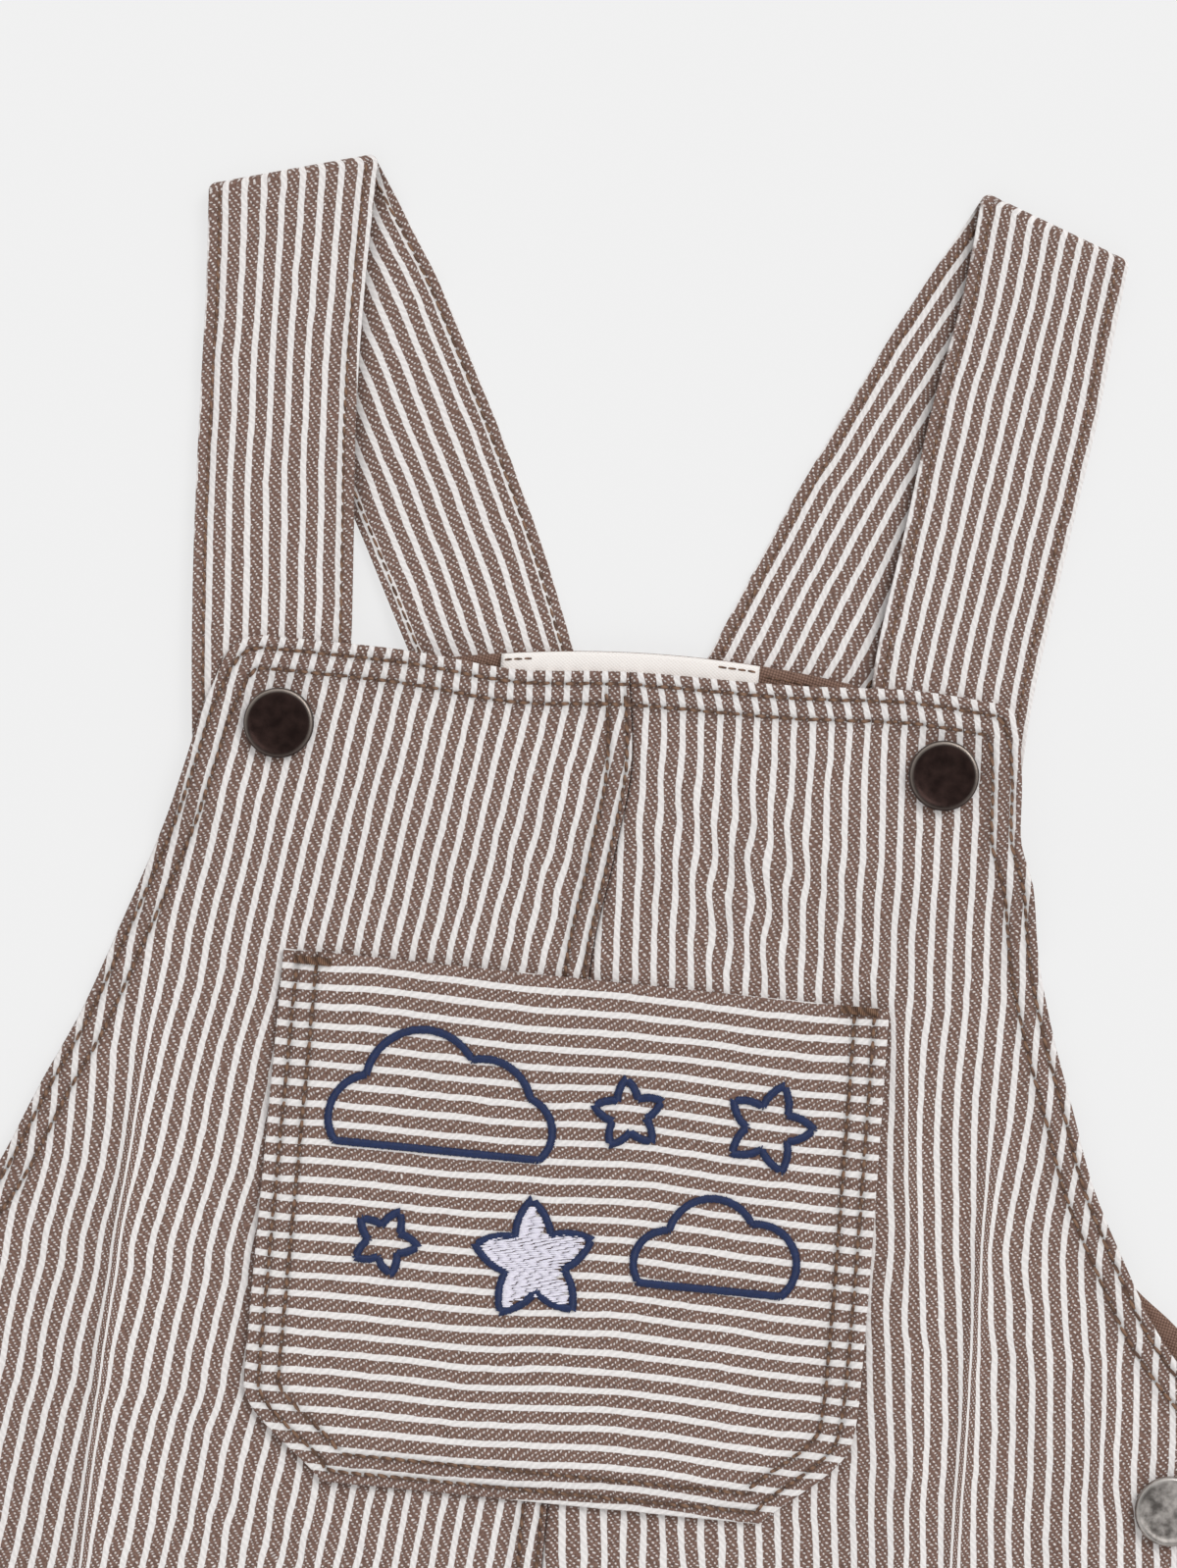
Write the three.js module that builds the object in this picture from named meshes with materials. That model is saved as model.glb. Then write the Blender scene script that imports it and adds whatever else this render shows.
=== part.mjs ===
// Toddler's dungarees in striped cotton, laid flat on a surface with the front up.
// Millimetres. +X is to the right, +Y from the leg hems towards the strap folds, +Z up.
// Every outline below is given as across (X) and up (Y) from the middle of the bib's top edge.

import * as THREE from "three";

// Cloth and sewing
const CLOTH = 1.0;
const SEAM_GAP = 0.3;
const STRAP_CLOTH = 1.5;
const STRAP_FOLD_GAP = 1.0;

// Underside of the straps: sewn in on the back, and behind the bib's corners
const STRAP_SEWN = CLOTH + SEAM_GAP;
const STRAP_END = 2.75;

// How far the front rises near its top to clear the strap ends, and the label between them
const RISE_OVER_STRAPS = 1.95;
const RISE_OVER_LABEL = 1.3;

// How far the front's armhole edges droop where they reach past the back
const ARMHOLE_DROOP = 1.7;

// Heights up the garment, from the middle of the bib's top edge
const BACK_TOP = 5.2;
const BIB_TOP = 0.9;
const SIDE_TOP = -146;
const CROTCH = -285;
const HEM = -565;

// How far the front stands off the back, away from the seams
const AIR_IN_BODY = 2.2;
const AIR_IN_BIB = 0.5;
const AIR_EDGE = 22;

// Brown facing inside the back
const FACING_DEPTH = 38;
const FACING_BOTTOM = -142;
const FACING_BAND_END = -75;
const FACING_BAND_START = -45;

// Pocket
const POCKET_TOP = -65;
const POCKET_BOTTOM = -177;
const POCKET_DROP = 0.5;

// Label
const LABEL_LEFT = -25.5;
const LABEL_RIGHT = 29.5;
const LABEL_BOTTOM = -17;
const LABEL_BELOW_EDGE = 0.6;

// Snaps
const CAP_RADIUS = 7.5;
const CAP_HEIGHT = 2.2;

// Outer edges of the front, from the hem up to the rounded corners of the bib
const FRONT_EDGE = [
  { up: HEM, left: -143, right: 143 },
  { up: -500, left: -146, right: 146 },
  { up: -400, left: -150, right: 150 },
  { up: -330, left: -152, right: 152 },
  { up: -285, left: -152, right: 152 },
  { up: -230, left: -149.5, right: 149.5 },
  { up: -190, left: -146, right: 146 },
  { up: -160, left: -144.2, right: 144.2 },
  { up: SIDE_TOP, left: -142.6, right: 142.6 },
  { up: -141, left: -139, right: 139 },
  { up: -135, left: -133.5, right: 133.1 },
  { up: -126, left: -127, right: 126 },
  { up: -118, left: -122.4, right: 121.3 },
  { up: -98, left: -114.2, right: 110.7 },
  { up: -83, left: -107.6, right: 105.2 },
  { up: -68, left: -102.5, right: 99.7 },
  { up: -52, left: -97.2, right: 95 },
  { up: -37, left: -92.5, right: 92.1 },
  { up: -26, left: -90, right: 88.2 },
  { up: -16, left: -87.9, right: 87.5 },
  { up: -10, left: -85.9, right: 86.7 },
  { up: -5.6, left: -84.5, right: 86 },
  { up: -2, left: -82.7, right: 84.9 },
  { up: 0, left: -80.2, right: 83.6 },
  { up: BIB_TOP, left: -77, right: 81 },
];

// Half width of the back, from the side seams' tops up to its top corners
const BACK_EDGE = [
  { up: HEM, half: 143 },
  { up: -500, half: 146 },
  { up: -400, half: 150 },
  { up: -330, half: 152 },
  { up: -285, half: 152 },
  { up: -230, half: 149.5 },
  { up: -190, half: 146 },
  { up: -160, half: 144.2 },
  { up: SIDE_TOP, half: 143 },
  { up: -137, half: 140 },
  { up: -127.6, half: 132.4 },
  { up: -119.5, half: 122.1 },
  { up: -103, half: 107 },
  { up: -80, half: 90 },
  { up: -55, half: 75 },
  { up: -30, half: 64 },
  { up: -10, half: 56 },
  { up: BACK_TOP, half: 50 },
];

// Inner edge of each leg below the crotch, from the middle
const INSEAM = [
  { up: HEM, from: 28 },
  { up: -500, from: 24.5 },
  { up: -420, from: 19 },
  { up: -350, from: 13 },
  { up: -315, from: 8.5 },
  { up: -298, from: 4.5 },
  { up: CROTCH, from: SEAM_GAP / 2 },
];

// Where the centre front seam runs, to the right of the middle
const CENTRE_SEAM = [
  { up: HEM, across: 0 },
  { up: CROTCH, across: 0 },
  { up: -192, across: 1.9 },
  { up: -120, across: 0.8 },
  { up: -64, across: -0.3 },
  { up: -38, across: 2.6 },
  { up: -20, across: 4.3 },
  { up: BIB_TOP, across: 1.9 },
];

// Edges of the pocket, bottom to top
const POCKET_EDGE = [
  { up: POCKET_BOTTOM, left: -46.4, right: 47.1 },
  { up: -158, left: -65, right: 65 },
  { up: -150, left: -65.2, right: 65.7 },
  { up: POCKET_TOP, left: -65.6, right: 64.1 },
];

// Soft upright folds of the front: where each starts and ends, how high and how wide it stands
const FOLDS = [
  { fromX: -92, fromY: -78, toX: -97, toY: -330, height: 2.6, width: 11 },
  { fromX: 77, fromY: -92, toX: 91, toY: -330, height: 2.8, width: 11 },
  { fromX: 118, fromY: -128, toX: 121, toY: -215, height: 1.6, width: 8 },
  { fromX: -60, fromY: -300, toX: -98, toY: -470, height: 2.4, width: 12 },
  { fromX: 22, fromY: -262, toX: 72, toY: -400, height: 2.2, width: 12 },
  { fromX: -20, fromY: -262, toX: -48, toY: -350, height: 1.8, width: 11 },
  { fromX: 108, fromY: -360, toX: 82, toY: -530, height: 2.2, width: 13 },
];
const FOLD_BOW = 4;

// Straps: left and right edge and the underside's height, from the end sewn into the back
// to the fold, and from the fold down to the end behind the bib's corner
const LEFT_STRAP = {
  back: [
    { lx: -38, ly: -13, rx: -4, ry: -10, z: STRAP_SEWN },
    { lx: -47.9, ly: 5.3, rx: -10.3, ry: 4.1, z: STRAP_SEWN },
    { lx: -57.5, ly: 23.5, rx: -18.9, ry: 25.2, z: 0 },
    { lx: -66.5, ly: 40, rx: -26.6, ry: 41.3, z: 0 },
    { lx: -77.5, ly: 60, rx: -36.8, ry: 61.4, z: 0 },
    { lx: -88, ly: 79, rx: -47.7, ry: 81.4, z: 0 },
    { lx: -97.3, ly: 93.8, rx: -62.1, ry: 103.8, z: 0 },
  ],
  front: [
    { lx: -97.3, ly: 93.8, rx: -62.1, ry: 103.8, z: 2.5 },
    { lx: -95.9, ly: 73, rx: -62.3, ry: 76, z: 1.9 },
    { lx: -94.9, ly: 50, rx: -61.5, ry: 50, z: 1.8 },
    { lx: -93.4, ly: 22, rx: -59.3, ry: 22, z: 2.1 },
    { lx: -91.6, ly: -1, rx: -57.6, ry: -1, z: STRAP_END },
    { lx: -89.5, ly: -22, rx: -57, ry: -22, z: STRAP_END },
    { lx: -88.6, ly: -32, rx: -56.8, ry: -32, z: STRAP_END },
  ],
};

const RIGHT_STRAP = {
  back: [
    { lx: 11, ly: -12, rx: 42, ry: -13, z: STRAP_SEWN },
    { lx: 15.3, ly: -1.5, rx: 43, ry: -1.5, z: STRAP_SEWN },
    { lx: 19.2, ly: 7.5, rx: 58, ry: 9, z: 1.15 },
    { lx: 26.6, ly: 25.4, rx: 63.5, ry: 23.5, z: 0 },
    { lx: 34.2, ly: 43, rx: 70, ry: 41, z: 0 },
    { lx: 42.6, ly: 60.7, rx: 79, ry: 60, z: 0 },
    { lx: 51, ly: 78.4, rx: 88.5, ry: 78.5, z: 0 },
    { lx: 66.9, ly: 108.3, rx: 99.3, ry: 96.5, z: 0 },
  ],
  front: [
    { lx: 66.9, ly: 108.3, rx: 99.3, ry: 96.5, z: 2.5 },
    { lx: 64.9, ly: 87, rx: 97.7, ry: 80, z: 1.9 },
    { lx: 60.9, ly: 64, rx: 95.9, ry: 62, z: 1.8 },
    { lx: 57.6, ly: 37, rx: 92.5, ry: 37, z: 2.1 },
    { lx: 53.8, ly: 5, rx: 88.3, ry: 5, z: 2.85 },
    { lx: 56.2, ly: -15, rx: 87.2, ry: -14, z: STRAP_END },
    { lx: 56.5, ly: -31, rx: 86.5, ry: -31, z: STRAP_END },
  ],
};

// Sections along each flat part of a strap, round its fold, and across it
const STRAP_STEPS = 18;
const FOLD_STEPS = 6;
const STRAP_COLUMNS = 2;

// Snap caps: the middle of each
const SNAPS = [
  { name: "snap_bib_left", x: -71.2, y: -17.4, metal: "bronze" },
  { name: "snap_bib_right", x: 70.6, y: -14.8, metal: "bronze" },
  { name: "snap_side_left", x: -133.9, y: -165.9, metal: "pewter" },
  { name: "snap_side_right", x: 133.9, y: -165.9, metal: "pewter" },
];

// Materials
const stripedCotton = new THREE.MeshStandardMaterial({ color: 0xab9d97, roughness: 0.9 });
const brownFacing = new THREE.MeshStandardMaterial({ color: 0x7c6257, roughness: 0.9 });
const creamTape = new THREE.MeshStandardMaterial({ color: 0xeee9e6, roughness: 0.85 });
const metals = {
  bronze: new THREE.MeshStandardMaterial({ color: 0x31261f, roughness: 0.4, metalness: 1 }),
  pewter: new THREE.MeshStandardMaterial({ color: 0x817b77, roughness: 0.45, metalness: 1 }),
};

// 0 at one end, 1 at the other, with a soft start and stop; the ends may run either way
function ramp(value, from, to) {
  const t = Math.min(Math.max((value - from) / (to - from), 0), 1);
  return t * t * (3 - 2 * t);
}

// A table's column at a given height, on a smooth curve through its rows
function along(table, column, up) {
  const last = table.length - 1;
  let i = 0;
  while (i < last - 1 && up > table[i + 1].up) i += 1;
  const a = table[i];
  const b = table[i + 1];
  const span = b.up - a.up;
  const t = Math.min(Math.max((up - a.up) / span, 0), 1);
  const chord = (b[column] - a[column]) / span;
  const slope = (p, q) => {
    const beyond = (q[column] - p[column]) / (q.up - p.up);
    return beyond * chord > 0 ? (2 * beyond * chord) / (beyond + chord) : 0;
  };
  const startSlope = i > 0 ? slope(table[i - 1], a) : chord;
  const endSlope = i < last - 1 ? slope(b, table[i + 2]) : chord;
  const t2 = t * t;
  const t3 = t2 * t;
  return (
    (2 * t3 - 3 * t2 + 1) * a[column] +
    (t3 - 2 * t2 + t) * span * startSlope +
    (3 * t2 - 2 * t3) * b[column] +
    (t3 - t2) * span * endSlope
  );
}

// The bib's top edge dips left of the middle and rises towards its right corner
function bibLift(x, y) {
  const dip = -2.0 * Math.exp(-(((x + 22) / 17) ** 2));
  const rise = 1.7 * Math.exp(-(((x - 63) / 19) ** 2));
  return (dip + rise) * ramp(y, -40, 0);
}

// The back's top edge is a shallow arch, highest a little right of the middle
function backLift(x, y) {
  return (-((x - 14) ** 2) / 500) * ramp(y, -45, 0);
}

// How far a point of the front is inside its nearest seam
function insideSeam(x, y) {
  const outer = along(BACK_EDGE, "half", Math.min(y, SIDE_TOP)) - Math.abs(x);
  const inner = y < CROTCH ? Math.abs(x) - along(INSEAM, "from", y) : Math.hypot(x, y - CROTCH);
  return Math.max(Math.min(outer, inner), 0);
}

// Height that the front's soft folds add
function foldHeight(x, y) {
  let height = 0;
  for (const fold of FOLDS) {
    const t = (y - fold.fromY) / (fold.toY - fold.fromY);
    const bow = FOLD_BOW * Math.sin(Math.PI * Math.min(Math.max(t, 0), 1));
    const middle = fold.fromX + (fold.toX - fold.fromX) * t - bow;
    const fade = ramp(t, 0, 0.22) * ramp(t, 1, 0.7);
    height += fold.height * fade * Math.exp(-(((x - middle) / fold.width) ** 2));
  }
  return height * ramp(insideSeam(x, y), 4, 26);
}

// Underside of the front: it clears the facing, the label and the strap ends below it,
// droops to the surface where the bib reaches past the back, and is loose over the legs
function frontUnder(x, y) {
  const seam = CLOTH + SEAM_GAP;
  const loose = 1 - Math.exp(-insideSeam(x, y) / AIR_EDGE);
  const body = seam + AIR_IN_BODY * loose;
  const overhang = Math.abs(x) - along(BACK_EDGE, "half", y);
  const droop = ARMHOLE_DROOP * ramp(overhang, 2, 24) * ramp(y, -34, -46);
  const overStraps = RISE_OVER_STRAPS * ramp(y, -58, -33);
  const overLabel = RISE_OVER_LABEL * ramp(y, -45, -21) * ramp(Math.abs(x), 58, 42);
  const bib = 2 * seam + AIR_IN_BIB * loose * ramp(y, -60, -100) - droop + overStraps + overLabel;
  return THREE.MathUtils.lerp(body, bib, ramp(y, -178, -142)) + foldHeight(x, y);
}

// Underside of the facing: on the back, and over the strap ends at the top
function facingUnder(x, y) {
  const overStrapEnds = ramp(y, -33, -17) * ramp(Math.abs(x), 55, 48);
  return CLOTH + SEAM_GAP + (STRAP_CLOTH + SEAM_GAP) * overStrapEnds;
}

// One closed wall of cloth between two grids of points, rows going up and columns going right
function wall(lower, upper, material, name) {
  const rows = lower.length;
  const columns = lower[0].length;
  const positions = [];
  for (const grid of [lower, upper]) {
    for (const row of grid) {
      for (const point of row) positions.push(point.x, point.y, point.z);
    }
  }
  const below = (i, j) => i * columns + j;
  const above = (i, j) => rows * columns + i * columns + j;
  const faces = [];
  const quad = (a, b, c, d) => faces.push(a, b, c, a, c, d);
  for (let i = 0; i < rows - 1; i += 1) {
    for (let j = 0; j < columns - 1; j += 1) {
      quad(above(i, j), above(i, j + 1), above(i + 1, j + 1), above(i + 1, j));
      quad(below(i, j), below(i + 1, j), below(i + 1, j + 1), below(i, j + 1));
    }
    quad(below(i, 0), above(i, 0), above(i + 1, 0), below(i + 1, 0));
    const j = columns - 1;
    quad(below(i, j), below(i + 1, j), above(i + 1, j), above(i, j));
  }
  for (let j = 0; j < columns - 1; j += 1) {
    quad(below(0, j), below(0, j + 1), above(0, j + 1), above(0, j));
    const i = rows - 1;
    quad(below(i, j), above(i, j), above(i, j + 1), below(i, j + 1));
  }
  const geometry = new THREE.BufferGeometry();
  geometry.setAttribute("position", new THREE.Float32BufferAttribute(positions, 3));
  geometry.setIndex(faces);
  geometry.computeVertexNormals();
  const mesh = new THREE.Mesh(geometry, material);
  mesh.name = name;
  return mesh;
}

// A flat-lying piece: a grid between its two edges at each height, lifted onto what is under it
function panel({ name, material, heights, columns, edges, lift, under, thickness = CLOTH }) {
  const lower = [];
  const upper = [];
  for (const up of heights) {
    const [left, right] = edges(up);
    const lowerRow = [];
    const upperRow = [];
    for (let j = 0; j <= columns; j += 1) {
      const x = THREE.MathUtils.lerp(left, right, j / columns);
      const y = up + lift(x, up);
      const z = under(x, y);
      lowerRow.push(new THREE.Vector3(x, y, z));
      upperRow.push(new THREE.Vector3(x, y, z + thickness));
    }
    lower.push(lowerRow);
    upper.push(upperRow);
  }
  return wall(lower, upper, material, name);
}

// Row heights: each table row, with extra rows so that none is further apart than the step
function heightsOf(table, step) {
  const heights = [table[0].up];
  for (let i = 1; i < table.length; i += 1) {
    const from = table[i - 1].up;
    const count = Math.ceil((table[i].up - from) / step);
    for (let k = 1; k <= count; k += 1) heights.push(from + ((table[i].up - from) * k) / count);
  }
  return heights;
}

// Inner edge of a left or right half: the seam above the crotch, the inseam below it
function innerEdge(side, up) {
  if (up < CROTCH) return side * along(INSEAM, "from", up);
  return along(CENTRE_SEAM, "across", up) + (side * SEAM_GAP) / 2;
}

function leftToRight(side, inner, outer) {
  return side < 0 ? [outer, inner] : [inner, outer];
}

function frontHalf(side, name) {
  const column = side < 0 ? "left" : "right";
  return panel({
    name,
    material: stripedCotton,
    heights: heightsOf(FRONT_EDGE, 16),
    columns: 11,
    edges: (up) => leftToRight(side, innerEdge(side, up), along(FRONT_EDGE, column, up)),
    lift: bibLift,
    under: frontUnder,
  });
}

function backInner(side, up) {
  return up < CROTCH ? side * along(INSEAM, "from", up) : (side * SEAM_GAP) / 2;
}

function backHalf(side, name) {
  return panel({
    name,
    material: stripedCotton,
    heights: heightsOf(BACK_EDGE, 35),
    columns: 3,
    edges: (up) => leftToRight(side, backInner(side, up), side * along(BACK_EDGE, "half", up)),
    lift: backLift,
    under: () => 0,
  });
}

// The facing is a full band across the top and a strip along each armhole
function facingHalf(side, name) {
  const table = BACK_EDGE.filter((row) => row.up > FACING_BOTTOM);
  const heights = heightsOf([{ up: FACING_BOTTOM }, ...table], 9);
  return panel({
    name,
    material: brownFacing,
    heights,
    columns: 9,
    edges: (up) => {
      const outer = side * along(BACK_EDGE, "half", up);
      const strip = outer - side * FACING_DEPTH;
      const band = ramp(up, FACING_BAND_END, FACING_BAND_START);
      return leftToRight(side, THREE.MathUtils.lerp(strip, (side * SEAM_GAP) / 2, band), outer);
    },
    lift: backLift,
    under: facingUnder,
  });
}

function label() {
  return panel({
    name: "label",
    material: creamTape,
    heights: [LABEL_BOTTOM, -9, -2, BACK_TOP - LABEL_BELOW_EDGE],
    columns: 8,
    edges: () => [LABEL_LEFT, LABEL_RIGHT],
    lift: backLift,
    under: (x, y) => facingUnder(x, y) + CLOTH + SEAM_GAP,
  });
}

function pocket() {
  return panel({
    name: "pocket",
    material: stripedCotton,
    heights: heightsOf(POCKET_EDGE, 12),
    columns: 12,
    edges: (up) => [along(POCKET_EDGE, "left", up), along(POCKET_EDGE, "right", up)],
    lift: (x, up) => -POCKET_DROP * ramp(up, POCKET_BOTTOM, POCKET_TOP) * ramp(x, -65, 65),
    under: (x, y) => frontUnder(x, y) + CLOTH + 2 * SEAM_GAP,
  });
}

// A strap is one ribbon: up the back, half a turn round the slanted fold, and down the front
function strap(rows, name) {
  const lower = [];
  const upper = [];
  const section = (left, right, offset, across) => {
    const steps = [];
    for (let j = 0; j <= across; j += 1) steps.push(left.clone().lerp(right, j / across).add(offset));
    return steps;
  };
  const edge = (part, x, y) =>
    new THREE.CatmullRomCurve3(part.map((row) => new THREE.Vector3(row[x], row[y], row.z)));
  const flatPart = (part, outerFaceUp) => {
    const left = edge(part, "lx", "ly").getPoints(STRAP_STEPS);
    const right = edge(part, "rx", "ry").getPoints(STRAP_STEPS);
    for (let i = 0; i <= STRAP_STEPS; i += 1) {
      left[i].z = Math.max(left[i].z, 0);
      right[i].z = Math.max(right[i].z, 0);
      const bottom = section(left[i], right[i], new THREE.Vector3(), STRAP_COLUMNS);
      const top = section(left[i], right[i], new THREE.Vector3(0, 0, STRAP_CLOTH), STRAP_COLUMNS);
      lower.push(outerFaceUp ? top : bottom);
      upper.push(outerFaceUp ? bottom : top);
    }
  };
  flatPart(rows.back, false);
  const fold = rows.front[0];
  const left = new THREE.Vector3(fold.lx, fold.ly, STRAP_CLOTH + STRAP_FOLD_GAP / 2);
  const right = new THREE.Vector3(fold.rx, fold.ry, left.z);
  const outward = new THREE.Vector3(-(right.y - left.y), right.x - left.x, 0).normalize();
  for (let k = 1; k < FOLD_STEPS; k += 1) {
    const angle = -Math.PI / 2 + (Math.PI * k) / FOLD_STEPS;
    const away = outward.clone().multiplyScalar(Math.cos(angle));
    away.z = Math.sin(angle);
    const outside = away.clone().multiplyScalar(STRAP_CLOTH + STRAP_FOLD_GAP / 2);
    const inside = away.clone().multiplyScalar(STRAP_FOLD_GAP / 2);
    lower.push(section(left, right, outside, STRAP_COLUMNS));
    upper.push(section(left, right, inside, STRAP_COLUMNS));
  }
  flatPart(rows.front, true);
  return wall(lower, upper, stripedCotton, name);
}

// A cap is a low disc with a rolled rim and a face that sinks a little inside it
function snapCap({ name, x, y, metal }) {
  const profile = [
    [0, 0],
    [CAP_RADIUS - 0.9, 0],
    [CAP_RADIUS - 0.15, 0.45],
    [CAP_RADIUS, 1.1],
    [CAP_RADIUS - 0.35, 1.8],
    [CAP_RADIUS - 1.0, CAP_HEIGHT],
    [CAP_RADIUS - 1.7, CAP_HEIGHT - 0.15],
    [CAP_RADIUS - 3.5, CAP_HEIGHT - 0.2],
    [0, CAP_HEIGHT - 0.05],
  ].map(([radius, height]) => new THREE.Vector2(radius, height));
  const geometry = new THREE.LatheGeometry(profile, 24);
  geometry.rotateX(Math.PI / 2);
  const cap = new THREE.Mesh(geometry, metals[metal]);
  cap.name = name;
  let seat = 0;
  for (let k = 0; k < 24; k += 1) {
    const angle = (k * Math.PI) / 12;
    for (const reach of [0, 0.25, 0.5, 0.75, 1]) {
      const radius = reach * CAP_RADIUS;
      const under = frontUnder(x + radius * Math.cos(angle), y + radius * Math.sin(angle));
      seat = Math.max(seat, under + CLOTH);
    }
  }
  cap.position.set(x, y, seat + SEAM_GAP);
  return cap;
}

const garment = new THREE.Group();
garment.name = "dungarees";
garment.add(
  backHalf(-1, "back_left"),
  backHalf(1, "back_right"),
  facingHalf(-1, "facing_left"),
  facingHalf(1, "facing_right"),
  label(),
  strap(LEFT_STRAP, "strap_left"),
  strap(RIGHT_STRAP, "strap_right"),
  frontHalf(-1, "front_left"),
  frontHalf(1, "front_right"),
  pocket(),
  ...SNAPS.map(snapCap),
);

// The origin is under the middle of the garment's box, on the surface that it lies on
const box = new THREE.Box3().setFromObject(garment, true);
const middle = box.getCenter(new THREE.Vector3());
garment.position.set(-middle.x, -middle.y, -box.min.z);

const dungarees = new THREE.Group();
dungarees.add(garment);

export default dungarees;
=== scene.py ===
import math
import random

import bmesh
import bpy
from mathutils import Matrix, Vector, kdtree, noise


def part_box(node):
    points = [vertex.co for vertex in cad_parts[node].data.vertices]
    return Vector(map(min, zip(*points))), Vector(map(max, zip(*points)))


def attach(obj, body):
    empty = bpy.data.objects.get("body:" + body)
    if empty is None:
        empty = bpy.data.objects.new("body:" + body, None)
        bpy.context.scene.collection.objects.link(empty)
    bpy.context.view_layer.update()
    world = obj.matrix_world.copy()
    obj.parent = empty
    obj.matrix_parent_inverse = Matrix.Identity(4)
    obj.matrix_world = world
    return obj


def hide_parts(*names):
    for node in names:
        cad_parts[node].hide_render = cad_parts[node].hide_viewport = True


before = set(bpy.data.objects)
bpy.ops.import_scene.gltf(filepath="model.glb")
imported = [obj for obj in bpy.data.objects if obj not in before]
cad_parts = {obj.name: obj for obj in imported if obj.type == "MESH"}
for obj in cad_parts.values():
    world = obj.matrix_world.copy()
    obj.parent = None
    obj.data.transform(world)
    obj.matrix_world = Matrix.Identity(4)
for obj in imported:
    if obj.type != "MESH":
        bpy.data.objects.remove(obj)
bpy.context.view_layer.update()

# Where the garment lies
# Every piece is measured in millimetres across and up from the middle of the bib's top edge,
# as on the maker's pattern, and the left snap of the bib gives that point's place in the frame.
MM = 0.001
HALVES = ((-1, "left"), (1, "right"))
LEFT_SNAP = (-71.2, -17.4)
snap_low, snap_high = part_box("snap_bib_left")
BIB_X = (snap_low[0] + snap_high[0]) / 2 - LEFT_SNAP[0] * MM
BIB_Y = (snap_low[1] + snap_high[1]) / 2 - LEFT_SNAP[1] * MM


def at(x, y, z):
    return Vector((BIB_X + x * MM, BIB_Y + y * MM, z * MM))


# Front halves
# Two panels of striped cotton twill, bib and leg in one, joined down the middle with the
# allowance turned to the left and topstitched twice. The armholes and the bib's top edge are
# turned under and stitched twice; the leg hems are turned up once.
CLOTH = 1.0
SEAM_GAP = 0.3
STRAP_CLOTH = 1.5
BACK_TOP = 5.2
BIB_TOP = 0.9
SIDE_TOP = -146
CROTCH = -285
HEM = -565
AIR_IN_BODY = 2.2
AIR_IN_BIB = 0.5
AIR_EDGE = 22
RISE_OVER_STRAPS = 1.95
RISE_OVER_LABEL = 1.3
ARMHOLE_DROOP = 1.7
HEM_RISE = 0.55
CENTRE_RISE = 0.45
LEG_HEM_RISE = 0.5
GROOVE = 0.3
GROOVE_WIDTH = 0.45
# Painted shade in the grooves of the stitch rows, and fainter around them
GROOVE_SHADE = 0.75
AROUND_SHADE = 0.22
TOP_ROWS = (2.7, 7.0)
ARMHOLE_ROWS = (2.1, 6.2)
CENTRE_ROWS = (1.1, 5.1)
LEG_HEM_ROW = 17.5
LEG_HEM_EDGE = (19.2, 18.0)
LEG_HEM_REACH = 26
LEG_GROOVE_WIDTH = 0.7
LEG_GROOVE_SHADE = 0.8
STRIPE = 3.95

# How much the cloth falls at an edge, or how much painted shade darkens it there, and how fast that
# dies away beside it
EDGE_FALL = (0.3, 0.5)
SIDE_FALL = (0.4, 1.4)
SEAM_FALL = (0.45, 0.9)
SEAM_SHADE = (0.7, 0.5)
LEG_HEM_FALL = (0.3, 0.6)

# Heights or distances between which something starts or ends, from nothing to all of it
BODY_TO_BIB = (-178, -142)
BIB_AIR = (-60, -100)
OVER_STRAPS = (-58, -33)
OVER_LABEL = (-45, -21)
BESIDE_LABEL = (58, 42)
DROOP_UP = (-34, -46)
DROOP_OVERHANG = (2, 24)
FOLDS_FROM_SEAM = (4, 26)
CREASES_FROM_SEAM = (2, 18)
TOP_CURVE = (-40, 0)
BACK_CURVE = (-45, 0)
TOP_HEM_ROWS = (-9, -1)
SEAM_UNDER_TOP_HEM = (-6, -1)
SEAM_ABOVE_CROTCH = (CROTCH, CROTCH + 20)
ARMHOLE_HEM = (SIDE_TOP - 6, SIDE_TOP)

# The hemmed edges lie above this height or outside this distance from the middle
HEMMED_TOP = -20
HEMMED_SIDE = 66

# Waves of the bib's top edge: across, rise, width
TOP_WAVES = [(-22, -2.0, 17), (63, 1.7, 19)]

# The back's top edge is an arch about this middle, given by twice its radius
ARCH_MIDDLE = 14
ARCH_SIZE = 500

# up, left edge, right edge
FRONT_EDGE = [
    (HEM, -143, 143), (-500, -146, 146), (-400, -150, 150), (-330, -152, 152),
    (-285, -152, 152), (-230, -149.5, 149.5), (-190, -146, 146), (-160, -144.2, 144.2),
    (SIDE_TOP, -142.6, 142.6), (-141, -139, 139), (-135, -133.5, 133.1), (-126, -127, 126),
    (-118, -122.4, 121.3), (-98, -114.2, 110.7), (-83, -107.6, 105.2), (-68, -102.5, 99.7),
    (-52, -97.2, 95), (-37, -92.5, 92.1), (-26, -90, 88.2), (-16, -87.9, 87.5),
    (-10, -85.9, 86.7), (-5.6, -84.5, 86), (-2, -82.7, 84.9), (0, -80.2, 83.6),
    (BIB_TOP, -77, 81),
]

# up, half width
BACK_EDGE = [
    (HEM, 143), (-500, 146), (-400, 150), (-330, 152), (-285, 152), (-230, 149.5),
    (-190, 146), (-160, 144.2), (SIDE_TOP, 143), (-137, 140), (-127.6, 132.4),
    (-119.5, 122.1), (-103, 107), (-80, 90), (-55, 75), (-30, 64), (-10, 56), (BACK_TOP, 50),
]

# up, distance from the middle
INSEAM = [
    (HEM, 28), (-500, 24.5), (-420, 19), (-350, 13), (-315, 8.5), (-298, 4.5),
    (CROTCH, SEAM_GAP / 2),
]

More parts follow.
